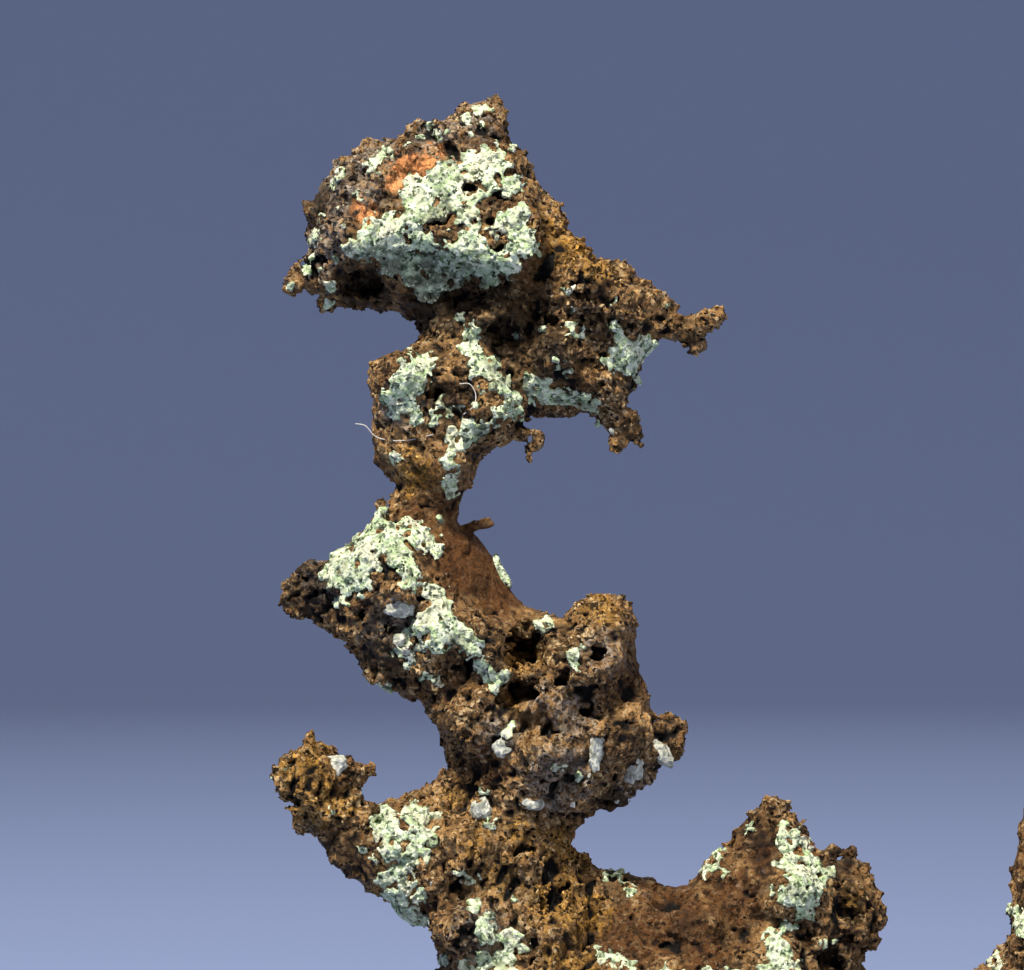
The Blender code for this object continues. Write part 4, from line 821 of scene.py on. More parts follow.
def crust_block(dabs, copper, step, side=-1):
    """Distances round a crust: a thin granular layer on the copper inside its dabs."""
    dab = np.array(dabs)
    reach = dab[:, 2].max() + 0.5
    depths = np.array([copper.spot(x, z, side)[1] for x, z, _ in dabs])
    low = np.array([dab[:, 0].min() - reach, depths.min() - 1.0, dab[:, 1].min() - reach])
    high = np.array([dab[:, 0].max() + reach, depths.max() + 1.0, dab[:, 1].max() + reach])
    lattice = Lattice(low, high, step)
    places = lattice.places(lattice.whole())
    block = lattice.filled(BAND)
    near = dab_reach(places, dabs) > -0.45
    spots = places[near]
    skin = copper.at(copper.skin, spots)
    layer = np.abs(skin) < 0.7
    near[near] = layer
    spots, skin = spots[layer], skin[layer]
    rough = copper.at(copper.surface, spots) - skin
    edge = np.minimum(dab_reach(spots, dabs), -dab_reach(spots, GAPS))
    edge += 0.10 * waves(spots, 0.6, 1) + 0.08 * facets(spots, 0.34, 2)
    edge -= 0.35 * ramp(waves(spots, 0.95, 3), 1.0, 1.8)
    edge -= np.maximum(side * (copper.side_at(spots, side) - spots[:, 1]) - 0.8, 0)
    plate = 0.16 + 0.03 * facets(spots, 0.8, 0) + 0.025 * facets(spots, 0.42, 1)
    plate += 0.02 * facets(spots, 0.24, 3)
    cracks = 0.10 * ramp(np.abs(waves(spots, 0.8, 2)), 0.10, 0.0)
    thick = np.minimum(plate - cracks, edge * 3.0 + 0.03)
    outer = skin + 0.5 * rough - thick
    block[near] = np.maximum(outer, -0.3 - skin)
    return block, lattice


def crust_faces(dabs, copper, step, side=-1):
    """A crust's corners in mm and triangles."""
    block, lattice = crust_block(dabs, copper, step, side)
    return polygons(block, lattice.first, step)


def spot_groups(dabs):
    """The dabs in groups that lie close together."""
    groups = []
    for dab in dabs:
        for group in groups:
            if any(math.hypot(dab[0] - x, dab[1] - z) < GROUPED for x, z, _ in group):
                group.append(dab)
                break
        else:
            groups.append([dab])
    return groups


def chip(random, half, count, cuts=0):
    """An angular chip inside a box of half sizes, as corners and triangles, its faces cut finer."""
    ball = bmesh.new()
    for place in random.standard_normal((count, 3)):
        ball.verts.new(Vector(place).normalized() * random.uniform(0.8, 1.0))
    bmesh.ops.convex_hull(ball, input=ball.verts)
    loose = [corner for corner in ball.verts if not corner.link_faces]
    bmesh.ops.delete(ball, geom=loose, context="VERTS")
    bmesh.ops.triangulate(ball, faces=ball.faces)
    if cuts:
        bmesh.ops.subdivide_edges(ball, edges=ball.edges, cuts=cuts, use_grid_fill=True)
        bmesh.ops.triangulate(ball, faces=ball.faces)
    ball.verts.index_update()
    points = np.array([corner.co[:] for corner in ball.verts]) * half
    faces = np.array([[corner.index for corner in face.verts] for face in ball.faces])
    ball.free()
    return points, outward(points, faces)


def turned(points, degrees, middle):
    """Points turned about the depth axis and moved to a middle."""
    spin = np.array(Matrix.Rotation(math.radians(degrees), 3, "Y"))
    return points @ spin.T + middle


# Kinds of node that are used again and again.
MATH = "ShaderNodeMath"
MIX = "ShaderNodeMix"
NOISE = "ShaderNodeTexNoise"
RANDOM = "FunctionNodeRandomValue"
SPLIT = "ShaderNodeSeparateColor"
SPREAD = "ShaderNodeMapRange"
VECTOR = "ShaderNodeVectorMath"
VORONOI = "ShaderNodeTexVoronoi"


def add_node(tree, kind, inputs=(), **settings):
    """Add a node; its inputs are listed from the first on, or given by name or number.

    An input is a value, another node's output, or a node for its first output.
    """
    node = tree.nodes.new(kind)
    for name, value in settings.items():
        setattr(node, name, value)
    for socket, value in inputs.items() if isinstance(inputs, dict) else enumerate(inputs):
        if isinstance(value, bpy.types.Node):
            value = value.outputs[0]
        if isinstance(value, bpy.types.NodeSocket):
            tree.links.new(value, node.inputs[socket])
        else:
            node.inputs[socket].default_value = value
    return node


def new_tree(name, **inputs):
    """Empty Geometry Nodes with the given kinds of inputs, and what adds a node to them."""
    tree = bpy.data.node_groups.new(name, "GeometryNodeTree")
    for label, kind in {"Geometry": "Geometry", **inputs}.items():
        tree.interface.new_socket(label, in_out="INPUT", socket_type="NodeSocket" + kind)
    tree.interface.new_socket("Geometry", in_out="OUTPUT", socket_type="NodeSocketGeometry")
    return tree, partial(add_node, tree)


def scatter_tree(name, material):
    """Geometry Nodes that strew angular crumbs over a surface; its inputs are named sizes."""
    tree, add = new_tree(
        name, Density="Float", Smallest="Float", Largest="Float", Sink="Float", Seed="Int")
    given = add("NodeGroupInput").outputs
    likely = add("GeometryNodeInputNamedAttribute", {"Name": "likely"}, data_type="FLOAT")
    density = add(MATH, [likely, given["Density"]], operation="MULTIPLY")
    points = add("GeometryNodeDistributePointsOnFaces", {
        "Mesh": given["Geometry"], "Density": density, "Seed": given["Seed"]})
    ball = add("GeometryNodeMeshIcoSphere", {"Radius": 1.0, "Subdivisions": 1})
    wobble = add(RANDOM, [(-0.3, -0.3, -0.3), (0.3, 0.3, 0.3)], data_type="FLOAT_VECTOR")
    crumb = add("GeometryNodeSetPosition", {"Geometry": ball, "Offset": wobble})
    turn = add(RANDOM, {0: (0.0, 0.0, 0.0), 1: (6.28, 6.28, 6.28), "Seed": given["Seed"]},
               data_type="FLOAT_VECTOR")
    size = add(RANDOM, {2: given["Smallest"], 3: given["Largest"], "Seed": given["Seed"]},
               data_type="FLOAT")
    squash = add(RANDOM, [(0.6, 0.6, 0.6), (1.2, 1.2, 1.2)], data_type="FLOAT_VECTOR")
    scale = add(VECTOR, [squash, size.outputs[1]], operation="MULTIPLY")
    down = add(VECTOR, {0: points.outputs["Normal"], "Scale": given["Sink"]}, operation="SCALE")
    sunk = add("GeometryNodeSetPosition", {"Geometry": points, "Offset": down})
    strewn = add("GeometryNodeInstanceOnPoints", {
        "Points": sunk, "Instance": crumb, "Rotation": turn, "Scale": scale})
    real = add("GeometryNodeRealizeInstances", [strewn])
    flat = add("GeometryNodeSetShadeSmooth", {"Geometry": real, "Shade Smooth": False})
    done = add("GeometryNodeSetMaterial", {"Geometry": flat, "Material": material})
    add("NodeGroupOutput", [done])
    return tree


def fibre_tree(name, material):
    """Geometry Nodes that give paths a round thickness; its input is the radius."""
    tree, add = new_tree(name, Radius="Float")
    given = add("NodeGroupInput").outputs
    path = add("GeometryNodeMeshToCurve", {"Mesh": given["Geometry"]})
    ring = add("GeometryNodeCurvePrimitiveCircle", {"Resolution": 8, "Radius": given["Radius"]})
    tube = add("GeometryNodeCurveToMesh", {"Curve": path, "Profile Curve": ring, "Fill Caps": True})
    real = add("GeometryNodeRealizeInstances", [tube])
    done = add("GeometryNodeSetMaterial", {"Geometry": real, "Material": material})
    add("NodeGroupOutput", [done])
    return tree


def placed(name, data):
    """A new object, linked to the scene."""
    thing = bpy.data.objects.new(name, data)
    bpy.context.scene.collection.objects.link(thing)
    return thing


def through_tree(name, mesh, tree, values):
    """A mesh's evaluated form after a node tree with the given inputs."""
    holder = placed(name, mesh)
    modifier = holder.modifiers.new(name, "NODES")
    modifier.node_group = tree
    for item in tree.interface.items_tree:
        if item.in_out == "INPUT" and item.name in values:
            modifier[item.identifier] = values[item.name]
    bpy.context.view_layer.update()
    graph = bpy.context.evaluated_depsgraph_get()
    made = bpy.data.meshes.new_from_object(holder.evaluated_get(graph))
    holder.modifiers.clear()
    bpy.data.objects.remove(holder, do_unlink=True)
    made.name = name
    return made


def new_material(name):
    """An empty material, and what adds a node to it."""
    material = bpy.data.materials.new(name)
    material.use_nodes = True
    material.node_tree.nodes.clear()
    return material, partial(add_node, material.node_tree)


def tilted(add, place, normal, size, lean):
    """Random cells of a size in metres, and the normal leant another way in each."""
    cell = add(VORONOI, {"Vector": place, "Scale": 1 / size})
    middle = add(VECTOR, [cell.outputs["Color"], (0.5, 0.5, 0.5)], operation="SUBTRACT")
    push = add(VECTOR, {0: middle, "Scale": lean}, operation="SCALE")
    total = add(VECTOR, [normal, push], operation="ADD")
    return cell, add(VECTOR, [total], operation="NORMALIZE")


def layered(add, skin, layers):
    """A colour under layers, each a colour and the shares that multiply to its cover."""
    for tone, share, *factors in layers:
        for factor in factors:
            share = add(MATH, [share, factor], operation="MULTIPLY")
        skin = add(MIX, {0: share, 6: skin, 7: tone}, data_type="RGBA").outputs[2]
    return skin


# Sizes in metres: copper crumbs, the flakes on them, grit, clouds of colour and the wobble of seams.
CRUMB = 0.00042
FLAKE = 0.00017
GRIT = 0.00012
CLOUD = 0.0022
WOBBLE = 0.0002

# The same for the minerals on it: crust granules, the sugar on them, clusters of pores, stains and veins.
GRANULE = 0.00024
SUGAR = 0.00013
CLUSTER = 0.00045
STAIN = 0.0016
VEIN = 0.0004


def copper_material(settings):
    """Native copper under a weathered skin of cuprite and tenorite.

    The skin is an earthy oxide, so it is matt and hardly metallic, with a crumb-by-crumb
    change of brown. It is black in the seams, rusty or ochre in places, and where it has
    rubbed off the metal gives crisp golden and orange glints. The black is also painted
    shade, laid in low spots, crowded recesses, large hollows and shaded zones, and the tan
    on the crumb tops is partly pale wear and partly a painted highlight.
    """
    material, add = new_material("weathered_native_copper")
    place = add("ShaderNodeTexCoord").outputs["Object"]
    shape = add("ShaderNodeAttribute", attribute_name="shape")
    height, crowd, calm = add(SPLIT, [shape]).outputs
    stain = add("ShaderNodeAttribute", attribute_name="tint")
    golden, rusty, dark = add(SPLIT, [stain]).outputs
    bare = stain.outputs["Alpha"]
    warp = add(NOISE, {"Vector": place, "Scale": 1 / CRUMB, "Detail": 2.0})
    shift = add(VECTOR, {0: warp.outputs["Color"], "Scale": 1.6 * WOBBLE}, operation="SCALE")
    bent = add(VECTOR, [place, shift], operation="ADD")
    grit = add(NOISE, {"Vector": place, "Scale": 1 / GRIT, "Detail": 3.0, "Roughness": 0.65})
    cloud = add(NOISE, {"Vector": place, "Scale": 1 / CLOUD, "Detail": 4.0, "Roughness": 0.6})
    uneven = add(SPREAD, [calm, 0.0, 1.0, 1.0, 0.35])
    lean = add(MATH, [uneven, 1.1], operation="MULTIPLY")
    bump = add("ShaderNodeBump", {"Strength": 1.0, "Distance": 0.0001, "Height": grit})
    crumb, normal = tilted(add, bent, bump, CRUMB, lean)
    flake, normal = tilted(add, bent, normal, FLAKE, lean)
    lot, _, _ = add(SPLIT, [crumb.outputs["Color"]]).outputs
    fleck, hole, spark = add(SPLIT, [flake.outputs["Color"]]).outputs
    edge = add(VORONOI, {"Vector": bent, "Scale": 1 / CRUMB}, feature="DISTANCE_TO_EDGE")

    patchy = add(SPREAD, [fleck, 0.15, 0.7, 0.35, 1.0])
    gold = add(MATH, [golden, patchy], operation="MULTIPLY")
    light = add(SPREAD, [fleck, 0.64, 0.9, 0.0, 0.85])
    plain = add(SPREAD, [rusty, 0.0, 1.0, 1.0, 0.3])
    film = add(SPREAD, [fleck, 0.1, 0.8, 0.1, 0.9])
    skin = layered(add, settings.umber, (
        (settings.brown, add(SPREAD, [cloud, 0.40, 0.60])),
        (settings.rust, rusty),
        (settings.ochre, gold),
        (settings.umber, lot, uneven, 0.5),
        # Tan flecks on the high points only: pale wear, and a painted highlight on the crumb tops.
        (settings.tan, light, height, uneven, plain),
        (settings.dust, film, shape.outputs["Alpha"]),
        (settings.bare, bare),
    ))

    seam = add(SPREAD, [edge, 0.09, 0.02, 0.0, 0.8])
    broken = add(SPREAD, [grit, 0.56, 0.44])
    for factor in (broken, uneven):
        seam = add(MATH, [seam, factor], operation="MULTIPLY")
    few = add(SPREAD, [calm, 0.0, 1.0, 0.9, 0.45])
    hole = add(MATH, [add(SPREAD, [hole, 0.83, 0.87]), few], operation="MULTIPLY")
    # Painted shade, with oxide: black in the low spots of the relief.
    low = add(SPREAD, [height, 0.40, 0.18])
    # Painted shade: black where the copper is crowded round, standing in for the shade in its recesses.
    shut = add(SPREAD, [crowd, 0.55, 0.69])
    speck = add(SPREAD, [grit, 0.43, 0.35, 0.0, 0.9])
    # Black: tenorite in the seams, pits and specks, and painted shade from the dark zones, low spots and
    # crowded recesses.
    tenorite_and_shade = add(MATH, [dark, 0.8], operation="MULTIPLY")
    for gap in (seam, hole, low, shut, speck):
        tenorite_and_shade = add(MATH, [tenorite_and_shade, gap], operation="MAXIMUM")
    kept = add(SPREAD, [bare, 0.0, 1.0, 1.0, 0.7])

    metal = add(MATH, [gold, bare], operation="MAXIMUM")
    shader = add("ShaderNodeBsdfPrincipled", {
        "Base Color": layered(add, skin, [(settings.black, tenorite_and_shade, kept)]),
        "Metallic": add(SPREAD, [metal, 0.0, 1.0, 0.0, 0.45]),
        "Roughness": add(SPREAD, [spark, 0.86, 0.97, 0.8, 0.4]),
        "Specular IOR Level": 0.2, "Normal": normal})
    add("ShaderNodeOutputMaterial", [shader])
    return material


def malachite_material(settings):
    """Earthy malachite, grown as a thin granular crust.

    A chalky mineral, so it has no gloss: nearly white mint on the grains, grey green in the
    seams between them, with dark green specks and a few cream and grey stains. Grey and deep
    green are also painted shade on the crust under the crown and where it lies crowded.
    """
    material, add = new_material("earthy_malachite_crust")
    place = add("ShaderNodeTexCoord").outputs["Object"]
    shape = add("ShaderNodeAttribute", attribute_name="shape")
    height, crust_shade, _ = add(SPLIT, [shape]).outputs
    grit = add(NOISE, {"Vector": place, "Scale": 1 / GRIT, "Detail": 3.0})
    cloud = add(NOISE, {"Vector": place, "Scale": 1 / STAIN, "Detail": 3.0})
    patch = add(NOISE, {"Vector": place, "Scale": 1 / CLUSTER, "Detail": 2.0})
    bump = add("ShaderNodeBump", {"Strength": 1.0, "Distance": 0.00008, "Height": grit})
    grain, normal = tilted(add, place, bump, GRANULE, 0.8)
    fine, normal = tilted(add, place, normal, SUGAR, 0.6)
    pale, speck, _ = add(SPLIT, [grain.outputs["Color"]]).outputs
    sugar, pore, _ = add(SPLIT, [fine.outputs["Color"]]).outputs
    dusk = add(SPREAD, [sugar, 0.0, 0.3, 0.35, 0.0])
    many = add(SPREAD, [patch, 0.42, 0.58])
    speck = add(SPREAD, [speck, 0.78, 0.82, 0.0, 0.85])
    pore = add(SPREAD, [pore, 0.74, 0.80, 0.0, 0.9])
    # Painted shade, with seams: deep green on the low grains.
    low = add(SPREAD, [height, 0.42, 0.15, 0.0, 0.9])
    # Painted shade mixed with real specks: the stored crust shade, the low grains, dark specks and pores all
    # go to deep green.
    shade = add(MATH, [crust_shade, 0.35], operation="MULTIPLY")
    for gap in (add(MATH, [speck, many], operation="MULTIPLY"),
                add(MATH, [pore, many], operation="MULTIPLY"), low):
        shade = add(MATH, [shade, gap], operation="MAXIMUM")
    base = layered(add, settings.mint, (
        (settings.chalk, add(SPREAD, [pale, 0.1, 0.8])),
        (settings.cream, add(SPREAD, [cloud, 0.53, 0.66, 0.0, 0.6])),
        (settings.grey, add(SPREAD, [cloud, 0.43, 0.32, 0.0, 0.7])),
        # Painted shade under the crown turns the crust grey, as do random dim grains.
        (settings.grey, add(MATH, [dusk, crust_shade], operation="MAXIMUM")),
        (settings.deep, shade),
    ))
    shader = add("ShaderNodeBsdfPrincipled", {
        "Base Color": base, "Roughness": 0.9, "Specular IOR Level": 0.15, "Normal": normal})
    add("ShaderNodeOutputMaterial", [shader])
    return material


def calcite_material(settings):
    """Calcite, cleaved: grey, half clear, with flat glassy faces and cloudy bands."""
    material, add = new_material("cleaved_calcite")
    place = add("ShaderNodeTexCoord").outputs["Object"]
    cloud = add(NOISE, {"Vector": place, "Scale": 1 / VEIN, "Detail": 5.0, "Roughness": 0.7})
    bump = add("ShaderNodeBump", {"Strength": 0.8, "Distance": 0.0001, "Height": cloud})
    _, normal = tilted(add, place, bump, GRANULE, 0.5)
    veined = layered(add, settings.smoke, [(settings.milk, add(SPREAD, [cloud, 0.40, 0.60]))])
    shader = add("ShaderNodeBsdfPrincipled", {
        "Base Color": veined, "Roughness": 0.3, "IOR": 1.58, "Transmission Weight": 0.12,
        "Normal": normal})
    add("ShaderNodeOutputMaterial", [shader])
    return material


def plain_material(name, tone, roughness):
    """A dull material of one colour."""
    material, add = new_material(name)
    shader = add("ShaderNodeBsdfPrincipled", {"Base Color": tone, "Roughness": roughness})
    add("ShaderNodeOutputMaterial", [shader])
    return material


def finished(name, mesh, material, nodes=()):
    """Link a mesh as a piece of the nugget, riding on its one body."""
    mesh.materials.clear()
    mesh.materials.append(material)
    piece = placed(name, mesh)
    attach(piece, "root")
    if nodes:
        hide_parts(*nodes)


def colour(label, text, code):
    """A colour setting."""
    return bpy.props.FloatVectorProperty(
        name=label, description=text, subtype="COLOR", size=4, min=0.0, max=1.0, default=linear(code))


def length(label, text, metres, **limits):
    """A length setting."""
    return bpy.props.FloatProperty(
        name=label, description=text, unit="LENGTH", default=metres, precision=6, **limits)


class NuggetCopperSettings(bpy.types.PropertyGroup):
    """Sizes and colours of the copper."""

    step: length(
        "Lattice Step", "Distance between the samples of the surface", 0.00012, min=0.00008, max=0.0004)
    umber: colour("Umber", "Dark brown skin", "#6c4f2e")
    brown: colour("Brown", "Middle brown skin", "#ae8653")
    rust: colour("Rust", "Reddish skin", "#553415")
    ochre: colour("Ochre", "Golden and ochre zones", "#bd8f40")
    # Tan is pale wear and a painted highlight on the crumb tops.
    tan: colour("Tan", "Light flecks on the crumbs", "#d6bb8c")
    dust: colour("Dust", "Grey film on the skin", "#9c9283")
    bare: colour("Bare Copper", "Metal with no skin", "#dc9a62")
    # The black is tenorite, and also painted shade in hollows, low spots and shaded zones.
    black: colour("Tenorite", "Black in the seams and hollows", "#0e0b08")


class NuggetCrustSettings(bpy.types.PropertyGroup):
    """Sizes and colours of the malachite."""

    step: length(
        "Lattice Step", "Distance between the samples of a crust", 0.000075, min=0.00005, max=0.0003)
    mint: colour("Mint", "Grain tops", "#b0c593")
    chalk: colour("Chalk", "Palest grains", "#e1eacc")
    cream: colour("Cream", "Warm stains", "#e8e0c2")
    # Grey is also painted shade on the crust under the crown.
    grey: colour("Grey", "Cool stains", "#888a70")
    # Deep green is also painted shade in crowded and shaded places.
    deep: colour("Deep Green", "Seams and specks", "#313d2b")


class NuggetGrainSettings(bpy.types.PropertyGroup):
    """Calcite, loose crumbs and lint."""

    smoke: colour("Smoke", "Clear parts of the calcite", "#8e9180")
    milk: colour("Milk", "Cloudy parts of the calcite", "#dfdfcc")
    lint: colour("Lint", "Cotton fibre", "#c6c2b8")
    crumbs: bpy.props.FloatProperty(
        name="Crumbs", description="Copper crumbs to a square metre where they are thickest",
        default=5.0e6, min=0.0)
    crumb_size: length("Crumb Size", "Half size of the largest copper crumb", 0.00015)
    granules: bpy.props.FloatProperty(
        name="Granules", description="Malachite granules to a square metre of crust", default=3.0e7, min=0.0)
    granule_size: length("Granule Size", "Half size of the largest granule", 0.00009)
    fibre: length("Fibre Radius", "Radius of the lint", 0.000025)


class NuggetStageSettings(bpy.types.PropertyGroup):
    """Floor, lights and camera."""

    floor: colour("Floor", "Board under and behind the nugget", "#7989b0")
    radius: length("Floor Radius", "How far the flat floor reaches", 0.5)


# What one operator leaves for the next.
GROWN = {}


class NUGGET_OT_stage(bpy.types.Operator):
    """Lay the floor and set the lights and the camera"""

    bl_idname = "nugget.stage"
    bl_label = "Set the Stage"

    def execute(self, context):
        """Make the stage."""
        make_floor(context.scene.nugget_stage)
        make_lights()
        make_camera()
        return {"FINISHED"}


class NUGGET_OT_copper(bpy.types.Operator):
    """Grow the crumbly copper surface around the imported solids"""

    bl_idname = "nugget.copper"
    bl_label = "Grow the Copper"

    def execute(self, context):
        """Make one piece for each branch."""
        settings = context.scene.nugget_copper
        copper = Copper(round(settings.step / MM, 4))
        GROWN["copper"] = copper
        GROWN["copper look"] = copper_material(settings)
        GROWN["copper faces"] = []
        for node, step in COPPER_NODES.items():
            points, faces = copper.piece(node, step)
            mesh = mesh_from_faces(node, points, faces)
            paint_copper(mesh, copper)
            finished(node + "_copper", mesh, GROWN["copper look"], [node])
            GROWN["copper faces"].append((points, faces))
        return {"FINISHED"}


def stained(places, dabs, uneven, start, stop):
    """0 outside the dabs to 1 inside, its edge moved in and out by an unevenness in mm."""
    return ramp(dab_reach(places, dabs) + uneven, start, stop)


def paint_copper(mesh, copper):
    """Store the copper's height, crowding and colour zones on its corners; the dark zone also holds painted
    shade.
    """
    places = corners_mm(mesh)
    rise, crowd, hollow = (
        copper.at(block, places) for block in (copper.skin, copper.crowd, copper.hollow))
    calm = np.maximum(zone(places, CALM), 0.45 * zone(places, FINE))
    uneven = waves(places, 0.55, 1)
    dusty = stained(places, DUSTY, 0.4 * uneven, -0.5, 0.7)
    # Height and crowding go to the material, which paints shade in low and crowded places.
    keep_colour(mesh, "shape", rise / 0.7 + 0.5, crowd, calm, dusty)
    golden = stained(places, GOLDEN, 0.3 * uneven, -0.3, 0.5)
    rusty = stained(places, RUSTY, 0.3 * uneven, -0.6, 0.9)
    rusty = np.maximum(rusty, 0.5 * ramp(waves(places, 4.2, 2), 0.3, 1.4))
    # Dark: oxide stains and random dark tone, with painted shade where the dabs mark shaded zones.
    dark = stained(places, DARK_AND_SHADED, 0.35 * uneven, -0.4, 0.6)
    dark = np.maximum(dark, 0.6 * ramp(waves(places, 2.7, 1), 0.9, 1.7))
    # Painted shade in the large hollows, from the blurred crowding.
    dark = np.maximum(dark, ramp(hollow, 0.62, 0.80))
    bare = stained(places, BARE, 0.2 * uneven, -0.1, 0.15)
    keep_colour(mesh, "tint", golden, rusty, dark * (1 - bare), bare)


class NUGGET_OT_crusts(bpy.types.Operator):
    """Lay the malachite crusts and their small patches on the copper"""

    bl_idname = "nugget.crusts"
    bl_label = "Lay the Crusts"

    def execute(self, context):
        """Make one piece for each crust and one for the small patches of each side."""
        settings = context.scene.nugget_crust
        copper = GROWN["copper"]
        GROWN["malachite look"] = malachite_material(settings)
        GROWN["crust faces"] = []
        for name, dabs in CRUSTS.items():
            self.lay(name + "_grains", [crust_faces(dabs, copper, round(settings.step / MM, 4))], [name])
        for name, dabs, side in (
            ("small_malachite_patches", SPOTS, -1), ("back_malachite_patches", BACK_SPOTS, 1),
        ):
            self.lay(name, [crust_faces(group, copper, PATCH_STEP, side) for group in spot_groups(dabs)])
        return {"FINISHED"}

    def lay(self, name, parts, nodes=()):
        """Link one crust with its height and its painted shade stored on its corners."""
        copper = GROWN["copper"]
        points, faces = joined([part for part in parts if len(part[1])])
        mesh = mesh_from_faces(name, points, faces)
        places = points.astype(np.float32)
        crowd = copper.at(copper.crowd, places)
        # Height: random grain tops, lowered where the crust lies crowded, so that the material paints shade
        # there.
        height = 0.55 + 0.2 * facets(places, 0.42, 1) - ramp(crowd, 0.45, 0.7)
        # Painted shade on the crust under the crown and at the neck.
        crust_shade = 0.85 * stained(places, CRUST_SHADE, 0.3 * waves(places, 0.7, 2), -0.3, 0.5)
        keep_colour(mesh, "shape", height, crust_shade)
        finished(name, mesh, GROWN["malachite look"], nodes)
        GROWN["crust faces"].append((points, faces))


class NUGGET_OT_grains(bpy.types.Operator):
    """Set the calcite grains and strew the loose bits of calcite"""

    bl_idname = "nugget.grains"
    bl_label = "Set the Calcite"

    def execute(self, context):
        """Make one piece for each grain and one for the bits."""
        copper = GROWN["copper"]
        look = calcite_material(context.scene.nugget_grain)
        random = np.random.default_rng(41)
        for name, ((x, z), (along, across), turn) in GRAINS.items():
            half = np.array([along, GRAIN_DEPTH, across])
            points, faces = chip(random, half, 40, 7)
            points[:, 1] = np.maximum(points[:, 1], GRAIN_FRONT)
            points = turned(points, turn, copper.spot(x, z) + GRAIN_SEAT)
            worn = 0.05 * waves(points, 0.8, 2) + 0.04 * facets(points, 0.45, 1)
            worn += 0.02 * waves(points, 0.3, 0)
            points += worn[:, None] * (points - points.mean(axis=0)) / half
            mesh = mesh_from_faces(name, points, faces, False)
            finished(name + "_crystal", mesh, look, [name])
        parts = []
        for x, z, half in BITS:
            points, faces = chip(random, half * random.uniform(0.6, 1.1, 3), 14)
            parts.append((turned(points, random.uniform(0, 180), copper.spot(x, z)), faces))
        finished("calcite_bits", mesh_from_faces("calcite_bits", *joined(parts), False), look)
        return {"FINISHED"}


class NUGGET_OT_crumbs(bpy.types.Operator):
    """Strew copper crumbs and malachite granules over their surfaces"""

    bl_idname = "nugget.crumbs"
    bl_label = "Strew the Crumbs"

    def execute(self, context):
        """Make one joined piece for each kind of crumb."""
        settings = context.scene.nugget_grain
        copper = GROWN["copper"]
        look = GROWN["copper look"]
        seat, places = self.seat("copper faces")
        calm = zone(places, CALM) + 0.5 * zone(places, FINE)
        edge = ramp(copper.at(copper.crowd, places), 0.50, 0.36)
        likely = (0.12 + 0.9 * edge) * (1 - calm) * (places[:, 2] > NO_CRUMBS_BELOW)
        crumbs = self.strewn("copper_crumbs", seat, likely, look, {
            "Density": settings.crumbs, "Smallest": SMALLEST_CRUMB,
            "Largest": settings.crumb_size, "Seed": 5})
        paint_copper(crumbs, copper)
        finished("copper_crumbs", crumbs, look)

        look = GROWN["malachite look"]
        seat, places = self.seat("crust faces")
        open_air = ramp(copper.at(copper.skin, places), -0.02, 0.08)
        likely = open_air * ramp(facets(places, 0.42, 1), -0.6, 0.5)
        granules = self.strewn("malachite_granules", seat, likely, look, {
            "Density": settings.granules, "Smallest": SMALLEST_GRANULE,
            "Largest": settings.granule_size, "Seed": 9})
        keep_colour(granules, "shape", np.full(len(granules.vertices), 0.7))
        finished("malachite_granules", granules, look)
        return {"FINISHED"}

    def seat(self, grown):
        """A mesh of all that was grown under a name, and its corners in mm."""
        mesh = mesh_from_faces("seat", *joined(GROWN[grown]))
        return mesh, corners_mm(mesh)

    def strewn(self, name, seat, likely, material, values):
        """Crumbs on a seat, as thick as they are likely at its corners."""
        layer = seat.attributes.new("likely", "FLOAT", "POINT")
        layer.data.foreach_set("value", np.clip(likely, 0, 1).astype(np.float32))
        return through_tree(name, seat, scatter_tree(name, material), {**values, "Sink": -SINK})


class NUGGET_OT_lint(bpy.types.Operator):
    """Lay the curled lint fibres"""

    bl_idname = "nugget.lint"
    bl_label = "Lay the Lint"

    def execute(self, context):
        """Make one piece of all the fibres."""
        settings = context.scene.nugget_grain
        look = plain_material("cotton_lint", settings.lint, 0.8)
        points = []
        edges = []
        for path in FIBRES:
            seats = np.array([GROWN["copper"].spot(x, z) for x, z in path])
            seats[:, 1] = np.minimum(seats[:, 1], np.median(seats[:, 1])) - FIBRE_STAND_OFF
            line = smooth_path(list(seats))
            edges += [(len(points) + n, len(points) + n + 1) for n in range(len(line) - 1)]
            points += [tuple(point * MM) for point in line]
        paths = bpy.data.meshes.new("fibre_paths")
        paths.from_pydata(points, edges, [])
        mesh = through_tree("lint_fibres", paths, fibre_tree("fibre", look), {"Radius": settings.fibre})
        finished("lint_fibres", mesh, look)
        return {"FINISHED"}


def smooth_path(points):
    """A path through the points, bent smoothly between them."""
    ends = [2 * points[0] - points[1], *points, 2 * points[-1] - points[-2]]
    line = []
    for a, b, c, d in zip(ends, ends[1:], ends[2:], ends[3:]):
        for part in np.arange(FIBRE_STRETCHES) / FIBRE_STRETCHES:
            bend = 2 * a - 5 * b + 4 * c - d
            swing = 3 * (b - c) + d - a
            line.append(b + 0.5 * part * (c - a + part * (bend + part * swing)))
    return line + [points[-1]]


# The stage, in metres: how the floor curves up, where the wall ends, and how finely both are cut.
FLOOR_RINGS = (0.0, 0.1, 0.3)
FLOOR_CURVE = 0.3
WALL_TOP = 1.1
CURVE_CUTS = 12
ROUND_CUTS = 96

# Lamps: name, place, width and watts. They are slightly warm, and the light all round is neutral.
LAMPS = (
    ("key", (-0.12, -0.27, 0.46), 0.09, 5.4),
    ("fill", (0.40, -0.50, 0.22), 0.40, 0.9),
    ("rim", (0.10, 0.34, 0.40), 0.16, 0.5),
)
LAMP_AIM = Vector((-0.004, 0.0, 0.026))
LAMP = "#fff8ee"
SKY = "#f1eadb"
SKY_STRENGTH = 0.20


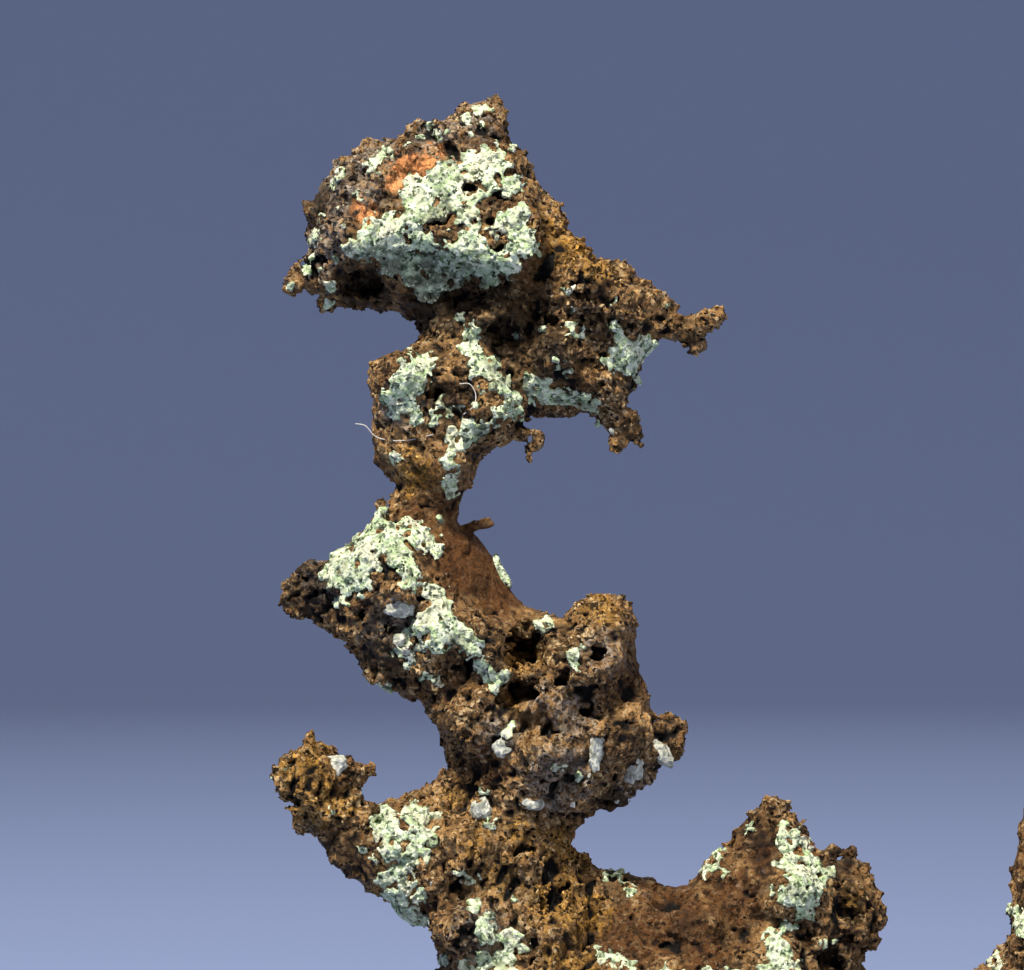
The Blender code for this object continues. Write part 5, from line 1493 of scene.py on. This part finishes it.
def make_floor(settings):
    """A round pale floor that curves up into a wall on every side."""
    reach = settings.radius
    profile = [(ring, 0.0) for ring in (*FLOOR_RINGS, reach)]
    for cut in range(1, CURVE_CUTS + 1):
        angle = math.radians(90 * cut / CURVE_CUTS)
        profile.append((reach + FLOOR_CURVE * math.sin(angle), FLOOR_CURVE * (1 - math.cos(angle))))
    profile.append((reach + FLOOR_CURVE, WALL_TOP))
    bowl = bmesh.new()
    edge = [bowl.verts.new((radius, 0, height)) for radius, height in profile]
    edges = [bowl.edges.new(pair) for pair in zip(edge, edge[1:])]
    bmesh.ops.spin(bowl, geom=edge + edges, axis=(0, 0, 1), cent=(0, 0, 0), angle=math.tau,
                   steps=ROUND_CUTS, use_merge=True)
    bmesh.ops.remove_doubles(bowl, verts=bowl.verts, dist=0.0001)
    bmesh.ops.recalc_face_normals(bowl, faces=bowl.faces)
    for face in bowl.faces:
        face.smooth = True
    mesh = bpy.data.meshes.new("floor")
    bowl.to_mesh(mesh)
    bowl.free()
    mesh.materials.append(plain_material("matt_painted_board", settings.floor, 0.9))
    floor = placed("floor", mesh)


def make_lights():
    """Soft studio light: a key high in front, a weak fill and a rim from behind."""
    for name, place, size, power in LAMPS:
        lamp = bpy.data.lights.new(name, "AREA")
        lamp.shape = "DISK"
        lamp.size = size
        lamp.energy = power
        lamp.color = linear(LAMP)[:3]
        light = placed(name, lamp)
        light.location = place
        light.rotation_euler = (LAMP_AIM - Vector(place)).to_track_quat("-Z", "Y").to_euler()
    world = bpy.data.worlds.new("studio")
    world.use_nodes = True
    sky = world.node_tree.nodes["Background"].inputs
    sky["Color"].default_value = linear(SKY)
    sky["Strength"].default_value = SKY_STRENGTH
    bpy.context.scene.world = world


def make_camera():
    """A level long lens at the front."""
    lens = bpy.data.cameras.new("camera")
    lens.lens = 180.0
    lens.sensor_width = 36.0
    lens.clip_start = 0.01
    lens.clip_end = 10.0
    camera = placed("camera", lens)
    camera.location = (-0.0084, -0.256, 0.0326)
    camera.rotation_euler = (math.radians(90), 0, 0)
    bpy.context.scene.camera = camera
    bpy.context.scene.view_settings.view_transform = "Standard"


class NUGGET_PT_panel(bpy.types.Panel):
    """Lists the nugget's settings and steps"""

    bl_idname = "NUGGET_PT_panel"
    bl_label = "Native Copper Nugget"
    bl_space_type = "VIEW_3D"
    bl_region_type = "UI"
    bl_category = "Nugget"

    def draw(self, context):
        """Show each group of settings above its buttons."""
        for group, (_, *operators) in STEPS.items():
            box = self.layout.box()
            settings = getattr(context.scene, group)
            for name in settings.bl_rna.properties.keys():
                if name not in {"rna_type", "name"}:
                    box.prop(settings, name)
            for operator in operators:
                box.operator(operator.bl_idname)


# The scene's groups of settings, each with its class and the operators that it is for.
STEPS = {
    "nugget_stage": (NuggetStageSettings, NUGGET_OT_stage),
    "nugget_copper": (NuggetCopperSettings, NUGGET_OT_copper),
    "nugget_crust": (NuggetCrustSettings, NUGGET_OT_crusts),
    "nugget_grain": (NuggetGrainSettings, NUGGET_OT_grains, NUGGET_OT_crumbs, NUGGET_OT_lint),
}
CLASSES = [*sum(STEPS.values(), ()), NUGGET_PT_panel]


def register():
    """Register the classes and hang the settings on the scene."""
    for kind in CLASSES:
        bpy.utils.register_class(kind)
    for name, (group, *_) in STEPS.items():
        setattr(bpy.types.Scene, name, bpy.props.PointerProperty(type=group))


def unregister():
    """Take the settings and the classes away again."""
    for name in STEPS:
        delattr(bpy.types.Scene, name)
    for kind in reversed(CLASSES):
        bpy.utils.unregister_class(kind)


def main():
    """Grow the whole nugget."""
    register()
    bpy.ops.nugget.stage()
    bpy.ops.nugget.copper()
    bpy.ops.nugget.crusts()
    bpy.ops.nugget.grains()
    bpy.ops.nugget.crumbs()
    bpy.ops.nugget.lint()
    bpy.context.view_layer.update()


if __name__ == "__main__":
    main()
